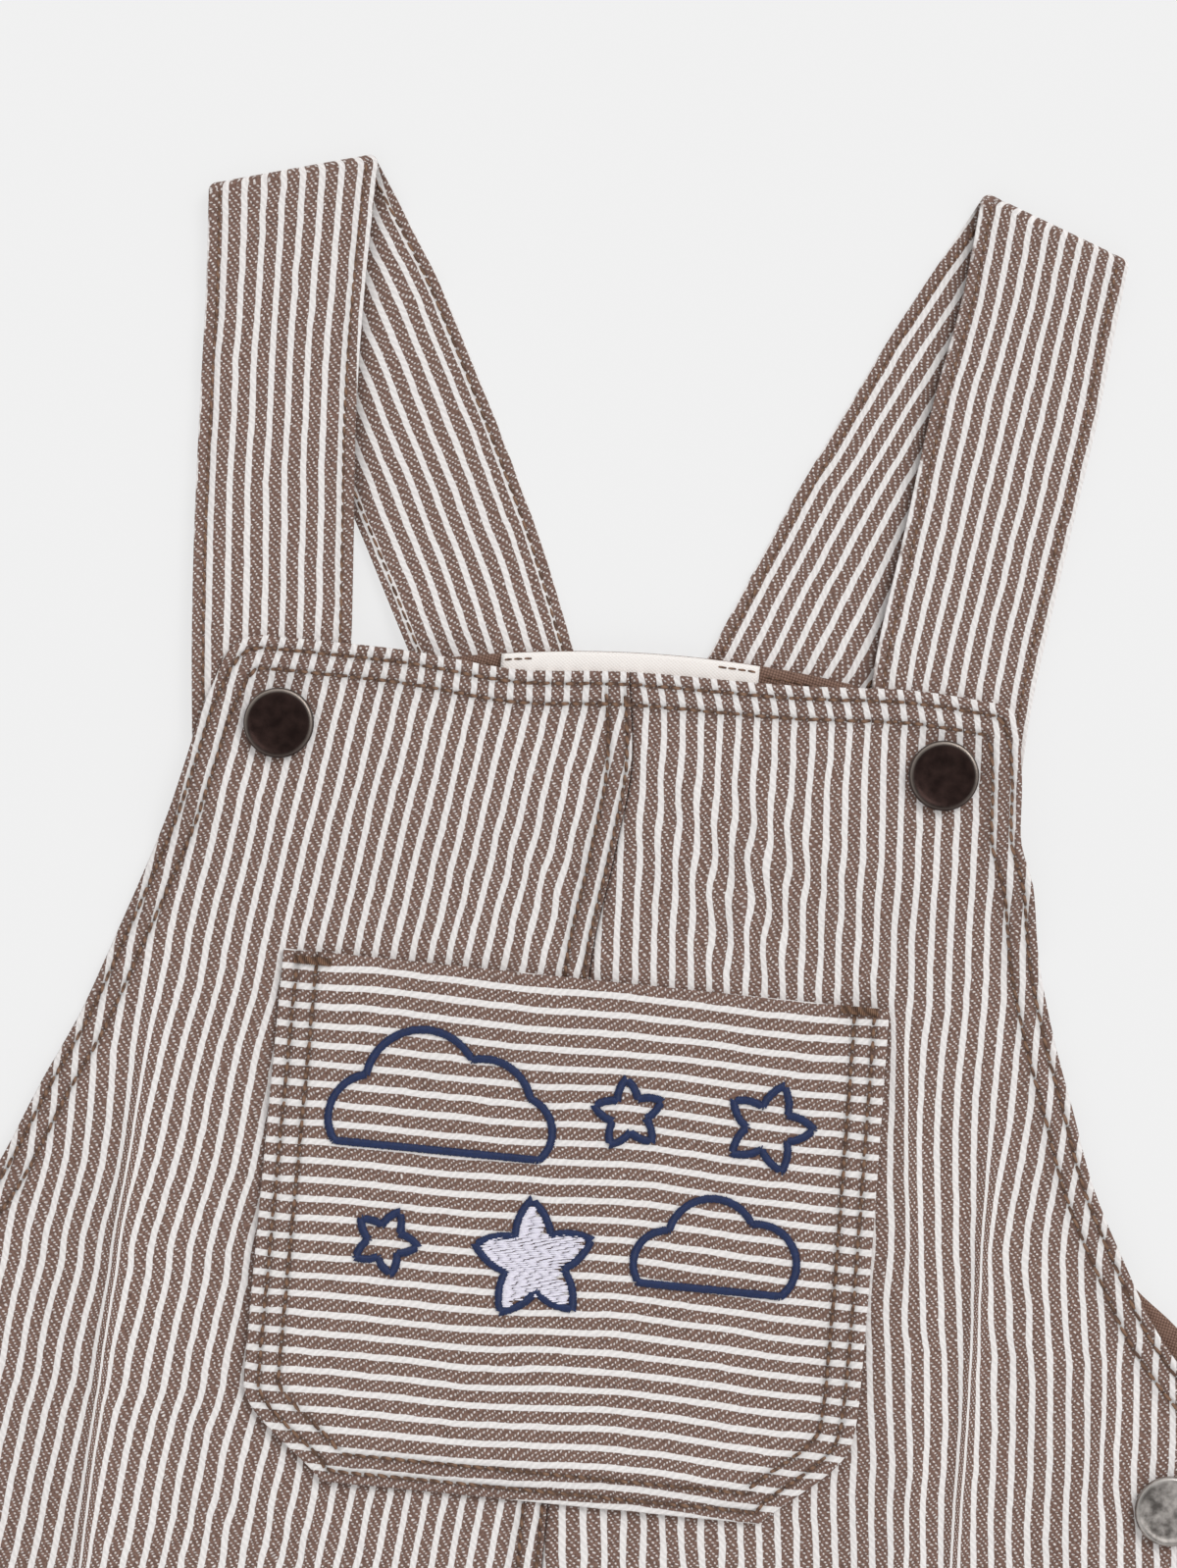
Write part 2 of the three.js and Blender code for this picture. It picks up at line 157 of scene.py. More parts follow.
# up, across
CENTRE_SEAM = [
    (HEM, 0), (CROTCH, 0), (-192, 1.9), (-120, 0.8), (-64, -0.3), (-38, 2.6), (-20, 4.3),
    (BIB_TOP, 1.9),
]

# Soft folds: from x, from y, to x, to y, bow to the left, height, half width
FOLDS = [
    (-92, -78, -97, -330, 4, 2.6, 11),
    (77, -92, 91, -330, 4, 2.8, 11),
    (118, -128, 121, -215, 4, 1.6, 8),
    (-60, -300, -98, -470, 4, 2.4, 12),
    (22, -262, 72, -400, 4, 2.2, 12),
    (-20, -262, -48, -350, 4, 1.8, 11),
    (108, -360, 82, -530, 4, 2.2, 13),
]

# Narrow creases on and beside the folds, in the same columns
CREASES = [
    (-92, -68, -88.5, -330, 5, 1.4, 2.0),
    (88.5, -80, 89, -270, 0, 1.4, 2.0),
    (65, -62, 74.5, -130, -1.5, 0.8, 1.8),
    (80, -150, 76, -215, 0, 0.6, 2.6),
    (118, -130, 118, -170, 0, 0.9, 2.2),
    (22, -12, 14, -52, 2, 0.5, 2.6),
    (-8, -10, -16, -40, -2, 0.4, 2.6),
    (36, -22, 30, -62, 3, 1.0, 1.8),
    (44, -26, 40, -66, 2, 0.5, 2.4),
    (-62, -20, -70, -62, 2, 0.4, 2.8),
    (-80, -90, -86, -150, 0, 0.4, 3.0),
    (100, -110, 108, -170, 2, 0.5, 3.0),
    (-40, -180, -62, -250, 3, 0.7, 4.0),
    (40, -184, 58, -262, 3, 0.8, 4.0),
    (-112, -190, -120, -290, 0, 0.9, 5.0),
    (10, -290, 60, -330, 5, 0.9, 4.0),
    (-12, -292, -64, -322, -5, 0.8, 4.0),
    (-122, -400, -96, -500, 0, 0.9, 5.0),
    (60, -430, 44, -540, 0, 0.8, 5.0),
]

# The first creases are sharp and swallow this much of the stripes' width
SWALLOW = (2.6, 2.5, 0.9, 0.5, 0.7)

# Places where the cloth is crumpled in small waves: x, y, reach, sway. They rise by a share
# of the sway
CRUMPLES = [
    (33, -42, 14, 0.5), (12, -30, 12, 0.22), (60, -60, 12, 0.15), (-14, -46, 12, 0.25),
    (98, -132, 16, 0.16), (-60, -190, 24, 0.15), (28, -200, 18, 0.22), (-20, -290, 30, 0.3),
    (40, -300, 30, 0.3),
]
CRUMPLE_RISE = 0.6

# Lean of the stripes to the right going up, in degrees: up, left half, right half
STRIPE_LEAN = [
    (HEM, 3.0, -4.0), (-300, 4.0, -6.5), (-200, 5.5, -7.5), (-150, 6.5, -6.0),
    (-100, 7.0, -4.5), (-60, 7.5, -3.5), (BIB_TOP, 8.5, -2.5),
]

# How far the turned top hem pulls its stripes aside for each millimetre up: across, pull
HEM_TWIST = [(-90, 0.14), (-62, 0.05), (-40, -0.12), (0, -0.24), (40, -0.28), (90, -0.22)]

# A white stripe crosses the top edge of each half here
WHITE_AT_TOP = {-1: -68.7, 1: 49.4}

# Below the pocket the centre seam draws in the right half's stripes, and the left half's are
# spread towards the side: millimetres, the reach across and the heights between
SEAM_DRAW = (5.0, 26, (-105, -215))
SIDE_SPREAD = (2.5, (30, 120), (0, -200))

# Slow and quick unevenness of the cloth: wide, high, slice of the noise, height
UNEVEN = [(34, 46, 3.1, 0.5), (10, 16, 8.7, 0.28)]

# Puckers along a stitched edge: height, length, start
PUCKERS = [(0.09, 0.95, 0.0), (0.07, 1.7, 1.3)]
HEM_PUFF = 0.12


def ramp(value, start, end):
    t = min(max((value - start) / (end - start), 0.0), 1.0)
    return t * t * (3 - 2 * t)


def bell(value, width):
    return math.exp(-((value / width) ** 2))


def beside(distance, amount, reach):
    """An amount at an edge that dies away with the distance from it."""
    return amount * math.exp(-distance / reach)


def along(table, up, column=1):
    """A column of a table at a height, on a smooth curve through its rows."""
    last = len(table) - 1
    i = 0
    while i < last - 1 and up > table[i + 1][0]:
        i += 1
    a, b = table[i], table[i + 1]
    rise = b[0] - a[0]
    t = min(max((up - a[0]) / rise, 0.0), 1.0)
    chord = (b[column] - a[column]) / rise
    slopes = []
    for p, q in ((max(i - 1, 0), i), (i + 1, min(i + 2, last))):
        if p == q:
            slopes.append(chord)
            continue
        beyond = (table[q][column] - table[p][column]) / (table[q][0] - table[p][0])
        meet = beyond + chord
        slopes.append(2 * beyond * chord / meet if beyond * chord > 0 else 0.0)
    t2, t3 = t * t, t * t * t
    return (
        (2 * t3 - 3 * t2 + 1) * a[column] + (t3 - 2 * t2 + t) * rise * slopes[0]
        + (3 * t2 - 2 * t3) * b[column] + (t3 - t2) * rise * slopes[1]
    )


def bib_lift(x, y):
    """How far a wavy top edge lifts the bib's points."""
    waves = sum(rise * bell(x - middle, width) for middle, rise, width in TOP_WAVES)
    return waves * ramp(y, *TOP_CURVE)


def back_lift(x, y):
    return -((x - ARCH_MIDDLE) ** 2) / ARCH_SIZE * ramp(y, *BACK_CURVE)


def inside_seam(x, y):
    """Distance into a front or back half from the side or the inseam."""
    outer = along(BACK_EDGE, min(y, SIDE_TOP)) - abs(x)
    inner = abs(x) - along(INSEAM, y) if y < CROTCH else math.hypot(x, y - CROTCH)
    return max(min(outer, inner), 0.0)


def on_ridge(ridge, t):
    """Where the middle of a fold or crease is, a share of the way along it."""
    from_x, _, to_x, _, bow = ridge[:5]
    return from_x + (to_x - from_x) * t - bow * math.sin(math.pi * t)


def ridges(table, x, y):
    """Height of all the folds or creases of a table at a point."""
    height = 0.0
    for ridge in table:
        _, from_y, _, to_y, _, rise, width = ridge
        t = (y - from_y) / (to_y - from_y)
        if not 0 < t < 1:
            continue
        middle = on_ridge(ridge, t)
        if abs(x - middle) < 3.5 * width:
            height += rise * ramp(t, 0, 0.22) * ramp(t, 1, 0.7) * bell(x - middle, width)
    return height


def front_under(x, y):
    """Underside of the front, as the construction has it."""
    seam = CLOTH + SEAM_GAP
    inside = inside_seam(x, y)
    loose = 1 - math.exp(-inside / AIR_EDGE)
    body = seam + AIR_IN_BODY * loose
    overhang = abs(x) - along(BACK_EDGE, y)
    droop = ARMHOLE_DROOP * ramp(overhang, *DROOP_OVERHANG) * ramp(y, *DROOP_UP)
    over_straps = RISE_OVER_STRAPS * ramp(y, *OVER_STRAPS)
    over_label = RISE_OVER_LABEL * ramp(y, *OVER_LABEL) * ramp(abs(x), *BESIDE_LABEL)
    bib = 2 * seam + AIR_IN_BIB * loose * ramp(y, *BIB_AIR) - droop + over_straps + over_label
    blend = ramp(y, *BODY_TO_BIB)
    return body + (bib - body) * blend + ridges(FOLDS, x, y) * ramp(inside, *FOLDS_FROM_SEAM)


def spaced(points, step):
    """The same line with its points a fixed step apart."""
    result = [points[0]]
    carry = 0.0
    for (ax, ay), (bx, by) in zip(points, points[1:]):
        length = math.hypot(bx - ax, by - ay)
        travel = step - carry
        while travel <= length:
            t = travel / length
            result.append((ax + (bx - ax) * t, ay + (by - ay) * t))
            travel += step
        carry = (carry + length) % step
    return result


def inset(points, distance, reach=4):
    """A line moved to the right of its own direction, which is into the cloth."""
    result = []
    for i, (x, y) in enumerate(points):
        ax, ay = points[max(i - reach, 0)]
        bx, by = points[min(i + reach, len(points) - 1)]
        length = math.hypot(bx - ax, by - ay) or 1.0
        gap = distance(x, y) if callable(distance) else distance
        result.append((x + (by - ay) / length * gap, y - (bx - ax) / length * gap))
    return result


def span(start, stop, count):
    return [start + (stop - start) * i / (count - 1) for i in range(count)]


def nearest_on(line):
    """A search tree that finds the point of a line nearest to a place."""
    tree = kdtree.KDTree(len(line))
    for number, (x, y) in enumerate(line):
        tree.insert((x, y, 0), number)
    tree.balance()
    return tree


# The hemmed outline runs up the left armhole, across the top and down the right armhole, and
# its stitching shapes the cloth this far in
SEWN_REACH = 14
EDGE_STEP = 0.5
armhole_ups = span(SIDE_TOP, -4, 240) + span(-3.8, BIB_TOP, 24)
top_line = [(x, BIB_TOP) for x in span(-76.5, 80.5, 160)]
hem_line = [(along(FRONT_EDGE, up, 1), up) for up in armhole_ups] + top_line
hem_line += [(along(FRONT_EDGE, up, 2), up) for up in reversed(armhole_ups)]
hem_line = spaced([(x, y + bib_lift(x, y)) for x, y in hem_line], EDGE_STEP)
hem_tree = nearest_on(hem_line)


def near_hem(x, y):
    return y > HEMMED_TOP or abs(x) > HEMMED_SIDE


def hem_rows(y):
    top = ramp(y, *TOP_HEM_ROWS)
    return [a + (b - a) * top for a, b in zip(ARMHOLE_ROWS, TOP_ROWS)]


def sewn_edge(distance, travel, rows, rise=HEM_RISE):
    """Height and painted shade of a turned edge: thick, with a shaded groove at each row of stitches.
    """
    near, far = rows
    pucker = sum(size * math.sin(travel / length + start) for size, length, start in PUCKERS)
    height = rise * ramp(distance, far + 2.0, far + 0.7)
    height += (HEM_PUFF + pucker) * bell(distance - (near + far) / 2, (far - near) / 2.6)
    height += 0.7 * pucker * bell(distance - far - 1.8, 1.3)
    grooves = bell(distance - near, GROOVE_WIDTH) + bell(distance - far, GROOVE_WIDTH)
    height -= GROOVE * grooves + beside(distance, *EDGE_FALL)
    around = bell(distance - near, 3 * GROOVE_WIDTH) + bell(distance - far, 3 * GROOVE_WIDTH)
    return height, min(GROOVE_SHADE * grooves + AROUND_SHADE * around, 1.0)


def undulation(x, y):
    return sum(
        rise * noise.noise(Vector((x / wide, y / high, level))) for wide, high, level, rise in UNEVEN
    )


def crumple(x, y):
    """How far the crumpled places push the cloth aside."""
    sway = 0.0
    for middle_x, middle_y, reach, amount in CRUMPLES:
        distance = math.hypot(x - middle_x, (y - middle_y) * 0.7)
        if distance < 2.2 * reach:
            wave = math.sin(y / 2.3 + 0.35 * x) + 0.7 * math.sin(y / 3.7 - 0.28 * x + middle_x)
            sway += amount * bell(distance, reach) * wave
    return sway


def front_face(x, y, side):
    """Height of the front's face and its painted shade, 0 to 1, deepest in stitch grooves."""
    inside = inside_seam(x, y)
    height = front_under(x, y) + CLOTH
    loose = ridges(CREASES, x, y) + undulation(x, y) + CRUMPLE_RISE * crumple(x, y)
    height += loose * ramp(inside, *CREASES_FROM_SEAM) - beside(inside, *SIDE_FALL)
    shade = 0.0
    if near_hem(x, y) and y > ARMHOLE_HEM[0]:
        _, number, distance = hem_tree.find((x, y, 0))
        if distance < SEWN_REACH:
            lift, sewn = sewn_edge(distance, number * EDGE_STEP, hem_rows(hem_line[number][1]))
            fade = ramp(y, *ARMHOLE_HEM)
            height += lift * fade
            shade = max(shade, sewn * fade)
    from_seam = side * (x - along(CENTRE_SEAM, y))
    if y > CROTCH and from_seam < SEWN_REACH:
        from_seam = max(from_seam, 0)
        if side < 0:
            lift, sewn = sewn_edge(from_seam, y, CENTRE_ROWS, CENTRE_RISE)
            fade = ramp(y, *SEAM_ABOVE_CROTCH) * (1 - ramp(y, *SEAM_UNDER_TOP_HEM))
            height += lift * fade
            shade = max(shade, sewn * fade)
        else:
            # The right half dips beside the seam, and painted shade darkens it there
            height -= beside(from_seam, *SEAM_FALL)
            shade = max(shade, beside(from_seam, *SEAM_SHADE))
    from_hem = y - HEM
    if from_hem < LEG_HEM_REACH:
        # Painted shade in the leg hem's stitch groove
        groove = bell(from_hem - LEG_HEM_ROW, LEG_GROOVE_WIDTH)
        height += LEG_HEM_RISE * ramp(from_hem, *LEG_HEM_EDGE) - GROOVE * groove
        height -= beside(from_hem, *LEG_HEM_FALL)
        shade = max(shade, LEG_GROOVE_SHADE * groove)
    return height, shade


LEAN_STEP = 1.0
lean_shift = {-1: [0.0], 1: [0.0]}
for side, column in ((-1, 1), (1, 2)):
    for k in range(int((BIB_TOP + 20 - HEM) / LEAN_STEP)):
        lean = math.radians(along(STRIPE_LEAN, BIB_TOP - k * LEAN_STEP, column))
        lean_shift[side].append(lean_shift[side][-1] - math.tan(lean) * LEAN_STEP)


def front_stripe(x, y, side):
    """Millimetres across the stripes, nought in the middle of a white one."""
    down = max(BIB_TOP - y, 0.0) / LEAN_STEP
    whole = int(down)
    shifts = lean_shift[side]
    shift = shifts[whole] + (shifts[whole + 1] - shifts[whole]) * (down - whole)
    across = x - WHITE_AT_TOP[side] - shift
    if side > 0:
        amount, reach, ups = SEAM_DRAW
        across += beside(abs(x), amount, reach) * ramp(y, *ups)
    else:
        amount, reach, ups = SIDE_SPREAD
        across += amount * ramp(-x, *reach) * ramp(y, *ups)
    hem_depth = TOP_ROWS[1] - (BIB_TOP + bib_lift(x, y) - y)
    if hem_depth > 0:
        across -= hem_depth * along(HEM_TWIST, x)
    across += crumple(x, y)
    for crease, swallow in zip(CREASES, SWALLOW):
        _, from_y, _, to_y, _, _, width = crease
        t = (y - from_y) / (to_y - from_y)
        if 0 < t < 1:
            fade = ramp(t, 0, 0.2) * ramp(t, 1, 0.75)
            across += swallow * fade * math.tanh((x - on_ridge(crease, t)) / (0.75 * width))
    return across


def linear(hex_colour):
    """An sRGB hex colour as linear light."""
    channels = [int(hex_colour[i:i + 2], 16) / 255 for i in (1, 3, 5)]
    return tuple(c / 12.92 if c < 0.04045 else ((c + 0.055) / 1.055) ** 2.4 for c in channels) + (1,)


def add(tree, kind, inputs=(), **settings):
    """One node with its settings; each input is a value, a socket, or a node's first output."""
    new = tree.nodes.new("ShaderNode" + kind)
    for name, value in settings.items():
        setattr(new, name, value)
    pairs = inputs.items() if isinstance(inputs, dict) else enumerate(inputs)
    for key, value in pairs:
        if isinstance(value, bpy.types.Node):
            value = value.outputs[0]
        if isinstance(value, bpy.types.NodeSocket):
            tree.links.new(value, new.inputs[key])
        elif value is not None:
            new.inputs[key].default_value = value
    return new


def mix(tree, factor, first, second, blend="MIX"):
    """The first colour with the second laid over it by the factor."""
    inputs = {0: factor, 6: first, 7: second}
    return add(tree, "Mix", inputs, data_type="RGBA", blend_type=blend).outputs[2]


def maths(tree, operation, *values):
    return add(tree, "Math", values, operation=operation)


def noisy(tree, place, scale, detail):
    return add(tree, "TexNoise", {"Vector": place, "Scale": scale, "Detail": detail})


def bumped(tree, height, strength, distance):
    return add(tree, "Bump", {"Height": height, "Strength": strength, "Distance": distance})


def new_material(name):
    material = bpy.data.materials.new(name)
    material.use_nodes = True
    material.node_tree.nodes.clear()
    return material, material.node_tree


def surfaced(material, sockets):
    """The material with a surface that has these sockets."""
    tree = material.node_tree
    add(tree, "OutputMaterial", [add(tree, "BsdfPrincipled", sockets)])
    return material


def as_piece(name, mesh, material):
    """The mesh as an object of the scene, in its material."""
    mesh.materials.append(material)
    piece = bpy.data.objects.new(name, mesh)
    bpy.context.scene.collection.objects.link(piece)
    return piece


# Yarn-dyed cotton twill: white warp stripes, and brown bands flecked by the white weft in
# slanting rows. Matt and dry, with a faint fuzz that catches light at a slant.
BROWN_YARN = "#9d7e71"
BROWN_DARK = "#311e19"
WHITE_YARN = "#f6f2f0"
WHITE_SHADE = "#e0dbd9"
WHITE_HALF = 0.66
WHITE_BLUR = 0.09

# The flecks lie on a slanting lattice, given by its two waves in cycles a millimetre
FLECK_WAVES = ((0.69, 0.56, 0.0), (0.69, -1.12, 0.0))
FLECK_WIDE = 0.235
FLECK_HIGH = 0.185
FLECK_STRAY = 1.1
FLECK_FADE = (0.55, 1.45)
FLECK_PATCHY = (0.42, 0.86)

# Painted shade: what is left of the light where it is deepest, as where stitching draws the cloth in
# most
DARKEST_PAINTED_SHADE = 0.38


def fleck_steps():
    """The lattice's two steps in mm, each along one wave and level with the other."""
    (ax, ay, _), (bx, by, _) = FLECK_WAVES
    turn = ax * by - ay * bx
    return (by / turn, -bx / turn, 0.0), (-ay / turn, ax / turn, 0.0)


def striped_twill():
    material, tree = new_material("yarn_dyed_striped_twill")
    cloth = add(tree, "SeparateXYZ", [add(tree, "UVMap", uv_map="cloth")])
    place = add(tree, "TexCoord").outputs["Object"]
    up = cloth.outputs[1]
    across = cloth.outputs[0]
    for scale, reach in ((60.0, 1.0), (260.0, 0.5)):
        drift = noisy(tree, place, scale, 1.0)
        wander = maths(tree, "SUBTRACT", drift, 0.5)
        across = maths(tree, "MULTIPLY_ADD", wander, reach, across)

    from_white = maths(tree, "PINGPONG", across, STRIPE / 2)
    white = add(
        tree, "MapRange", [from_white, WHITE_HALF - WHITE_BLUR, WHITE_HALF + WHITE_BLUR, 1.0, 0.0],
        interpolation_type="SMOOTHSTEP",
    )

    tuck = add(tree, "Attribute", attribute_name="tuck").outputs["Fac"]
    weft = maths(tree, "ADD", across, tuck)
    straight = add(tree, "CombineXYZ", [weft, up, 0.0])
    stray = noisy(tree, place, 450.0, 0.0)
    woven = add(
        tree, "VectorMath",
        [stray.outputs["Color"], (FLECK_STRAY, FLECK_STRAY, 0.0), straight], operation="MULTIPLY_ADD",
    )
    phases = []
    offset = None
    for wave, step in zip(FLECK_WAVES, fleck_steps()):
        phase = add(tree, "VectorMath", [woven, wave], operation="DOT_PRODUCT")
        phases.append(phase.outputs["Value"])
        part = maths(tree, "WRAP", phases[-1], 0.5, -0.5)
        part = add(tree, "VectorMath", {0: step, "Scale": part}, operation="SCALE")
        offset = add(tree, "VectorMath", [part, offset], operation="ADD") if offset else part
    fleck_sized = add(
        tree, "VectorMath", [offset, (1 / FLECK_WIDE, 1 / FLECK_HIGH, 1.0)],
        operation="MULTIPLY",
    )
    fleck_far = add(tree, "VectorMath", [fleck_sized], operation="LENGTH")
    fleck = add(
        tree, "MapRange", [fleck_far.outputs["Value"], *FLECK_FADE, 1.0, 0.0],
        interpolation_type="SMOOTHSTEP",
    )
    rib = maths(tree, "MULTIPLY", phases[0], 2 * math.pi)
    rib = maths(tree, "COSINE", rib)
    spin = noisy(tree, place, 2000.0, 2.0)
    patchy = add(tree, "MapRange", [spin, 0.35, 0.62, *FLECK_PATCHY])
    fleck = maths(tree, "MULTIPLY", fleck, patchy)

    brown = mix(tree, spin, linear(BROWN_DARK), linear(BROWN_YARN))
    flecked = mix(tree, fleck, brown, linear(WHITE_YARN))
    shadowed = maths(tree, "MULTIPLY_ADD", rib, -0.35, spin)
    pale = mix(tree, shadowed, linear(WHITE_YARN), linear(WHITE_SHADE))
    striped = mix(tree, white, flecked, pale)
    # Painted shade: the cloth is darkened in its stitch grooves, beside the centre seam and under the
    # straps' front parts
    sewn = add(tree, "Attribute", attribute_name="sewn").outputs["Fac"]
    shade = add(tree, "MapRange", [sewn, 0.0, 1.0, 1.0, DARKEST_PAINTED_SHADE])
    shade_colour = add(tree, "CombineColor", [shade, shade, shade])
    colour = mix(tree, 1.0, striped, shade_colour, "MULTIPLY")

    raised = maths(tree, "MAXIMUM", fleck, white)
    raised = maths(tree, "MULTIPLY_ADD", spin, 0.6, raised)
    bump = bumped(tree, raised, 0.45, 0.00015)
    return surfaced(
        material,
        {
            "Base Color": colour, "Roughness": 0.88, "Normal": bump, "IOR": 1.5,
            "Specular IOR Level": 0.25, "Sheen Weight": 0.12, "Sheen Roughness": 0.5,
        },
    )


twill = striped_twill()


def cloth_wall(name, across_count, up_count, point, thickness, thickest, material):
    """A wall of cloth: a grid moved to its face, with its thickness below it.

    point(j, i) gives x, y, z, stripe, run and shade for column j and row i.
    """
    shape = bmesh.new()
    bmesh.ops.create_grid(shape, x_segments=across_count, y_segments=up_count, size=0.5)
    runs = shape.loops.layers.uv.new("cloth")
    # Each point carries its painted shade, which darkens the cloth's colour
    sewn = shape.verts.layers.float.new("sewn")
    weights = shape.verts.layers.deform.new()
    stripes = {}
    for vertex in shape.verts:
        j = round((vertex.co.x + 0.5) * across_count)
        i = round((vertex.co.y + 0.5) * up_count)
        x, y, z, stripe, run, shade = point(j, i)
        vertex.co = at(x, y, z)
        vertex[sewn] = shade
        vertex[weights][0] = min(thickness(x, y) / thickest, 1.0)
        stripes[vertex.index] = (stripe, run)
    for face in shape.faces:
        face.smooth = True
        for loop in face.loops:
            loop[runs].uv = stripes[loop.vert.index]
    mesh = bpy.data.meshes.new(name)
    shape.to_mesh(mesh)
    shape.free()
    piece = as_piece(name, mesh, material)
    piece.vertex_groups.new(name="thickness")
    wall = piece.modifiers.new("wall", "SOLIDIFY")
    wall.thickness = thickest * MM
    wall.offset = -1
    wall.vertex_group = "thickness"
    wall.use_even_offset = False
    return piece


EDGE_COLUMNS = [0, 0.4, 0.9, 1.5, 2.1, 2.7, 3.4, 4.2, 5.0, 5.6, 6.2, 6.8, 7.4, 8.4, 9.8]
SEAM_COLUMNS = [0, 0.3, 0.7, 1.1, 1.5, 2.2, 3.0, 4.0, 4.6, 5.1, 5.6, 6.3, 7.2, 8.4, 10]
TOP_DEPTHS = [0, 0.4, 1, 1.7, 2.2, 2.7, 3.2, 3.9, 4.9, 5.9, 6.5, 7, 7.5, 8.2, 9.2, 10.5, 12]
LEG_HEM_HEIGHTS = [0, 0.5, 1.2, 3, 6, 9, 12, 14.5, 16.2, 17, 17.5, 18, 18.8, 20, 22]
MIDDLE_COLUMNS = 86
CREASE_CROWD = 5.0
CREASE_REACH = 4.5

front_ups = [HEM + h for h in LEG_HEM_HEIGHTS]
front_ups += span(HEM + 24, BIB_TOP - 14, 252)
front_ups += [BIB_TOP - depth for depth in reversed(TOP_DEPTHS)]


def crowded(start, stop, crease, count):
    """Places from start to stop, close together around a crease."""
    fine = span(start, stop, 160)
    total = [0.0]
    for before, after in zip(fine, fine[1:]):
        crowd = 1 + CREASE_CROWD * bell((before + after) / 2 - crease, CREASE_REACH)
        total.append(total[-1] + crowd * (after - before))
    places = []
    k = 0
    for wanted in span(0, total[-1], count):
        while k < len(total) - 2 and total[k + 1] < wanted:
            k += 1
        t = (wanted - total[k]) / (total[k + 1] - total[k])
        places.append(fine[k] + (fine[k + 1] - fine[k]) * t)
    return places


def front_columns(side, up):
    """Where the columns cross a row, from the centre seam or inseam out to the edge."""
    if up < CROTCH:
        inner = side * along(INSEAM, up)
    else:
        inner = along(CENTRE_SEAM, up) + side * 0.02
    column = 1 if side < 0 else 2
    outer = along(FRONT_EDGE, up, column)
    ahead = along(FRONT_EDGE, min(up + 0.5, BIB_TOP), column)
    behind = along(FRONT_EDGE, max(up - 0.5, HEM), column)
    slant = min(math.hypot(1.0, ahead - behind), 1.7)
    width = abs(outer - inner)
    seam = SEAM_COLUMNS
    edge = [width - depth * slant for depth in reversed(EDGE_COLUMNS)]
    sharpest = CREASES[0 if side < 0 else 1]
    t = min(max((up - sharpest[1]) / (sharpest[3] - sharpest[1]), 0.0), 1.0)
    crease = abs(on_ridge(sharpest, t) - inner)
    middle = crowded(seam[-1], edge[0], crease, MIDDLE_COLUMNS)[1:-1]
    return [inner + side * reach for reach in seam + middle + edge]


def front_half(side, name):
    rows = [front_columns(side, up) for up in front_ups]
    count = len(rows[0]) - 1

    def point(j, i):
        x = rows[i][j if side > 0 else count - j]
        up = front_ups[i]
        y = up + bib_lift(x, up)
        z, shade = front_face(x, y, side)
        return x, y, z, front_stripe(x, y, side), y, shade

    def thickness(x, y):
        extra = 0.0
        if y > ARMHOLE_HEM[0] and near_hem(x, y):
            distance = hem_tree.find((x, y, 0))[2]
            extra = HEM_RISE * ramp(distance, 9, 7)
        return CLOTH + extra

    return cloth_wall(name, count, len(front_ups) - 1, point, thickness, CLOTH + HEM_RISE, twill)


for side, word in HALVES:
    front = front_half(side, "cloth_front_" + word)
    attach(front, "root")
    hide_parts("front_" + word)


# Back halves
# The same striped twill, cut to the same sides, with a higher, arched top edge. They lie flat
# on the surface and carry everything else.
BACK_GRID = 3.0
BACK_FALL = (0.25, 0.8)


def back_face(x, y):
    """The cloth's upper face, which falls a little at the edge while the underside stays flat."""
    return CLOTH - beside(along(BACK_EDGE, y) - abs(x), *BACK_FALL)


def back_half(side, name):
    ups = span(HEM, BACK_TOP, int((BACK_TOP - HEM) / BACK_GRID))
    count = 46

    def point(j, i):
        up = ups[i]
        inner = along(INSEAM, up) if up < CROTCH else SEAM_GAP / 6
        outer = along(BACK_EDGE, up)
        t = j / count if side > 0 else 1 - j / count
        x = side * (inner + (outer - inner) * t)
        y = up + back_lift(x, up)
        return x, y, back_face(x, y), front_stripe(x, min(y, BIB_TOP), side), y, 0.0

    return cloth_wall(name, count, len(ups) - 1, point, back_face, CLOTH, twill)


for side, word in HALVES:
    back = back_half(side, "cloth_back_" + word)
    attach(back, "root")
    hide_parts("back_" + word)


# Facing
# Plain-weave brown cotton inside the back: a band across the top, over the ends of the
# straps, and a strip down each armhole. Only its edge shows above the bib and at the armhole.
FACING_DEPTH = 38
FACING_BOTTOM = -142
FACING_FALL = (0.4, 0.7)
FACING_BROWN = "#8d7062"
FACING_DARK = "#573f35"
FACING_THREAD = 0.62


def facing_under(x, y):
    over_strap_ends = ramp(y, -33, -17) * ramp(abs(x), 55, 48)
    return CLOTH + SEAM_GAP + (STRAP_CLOTH + SEAM_GAP) * over_strap_ends


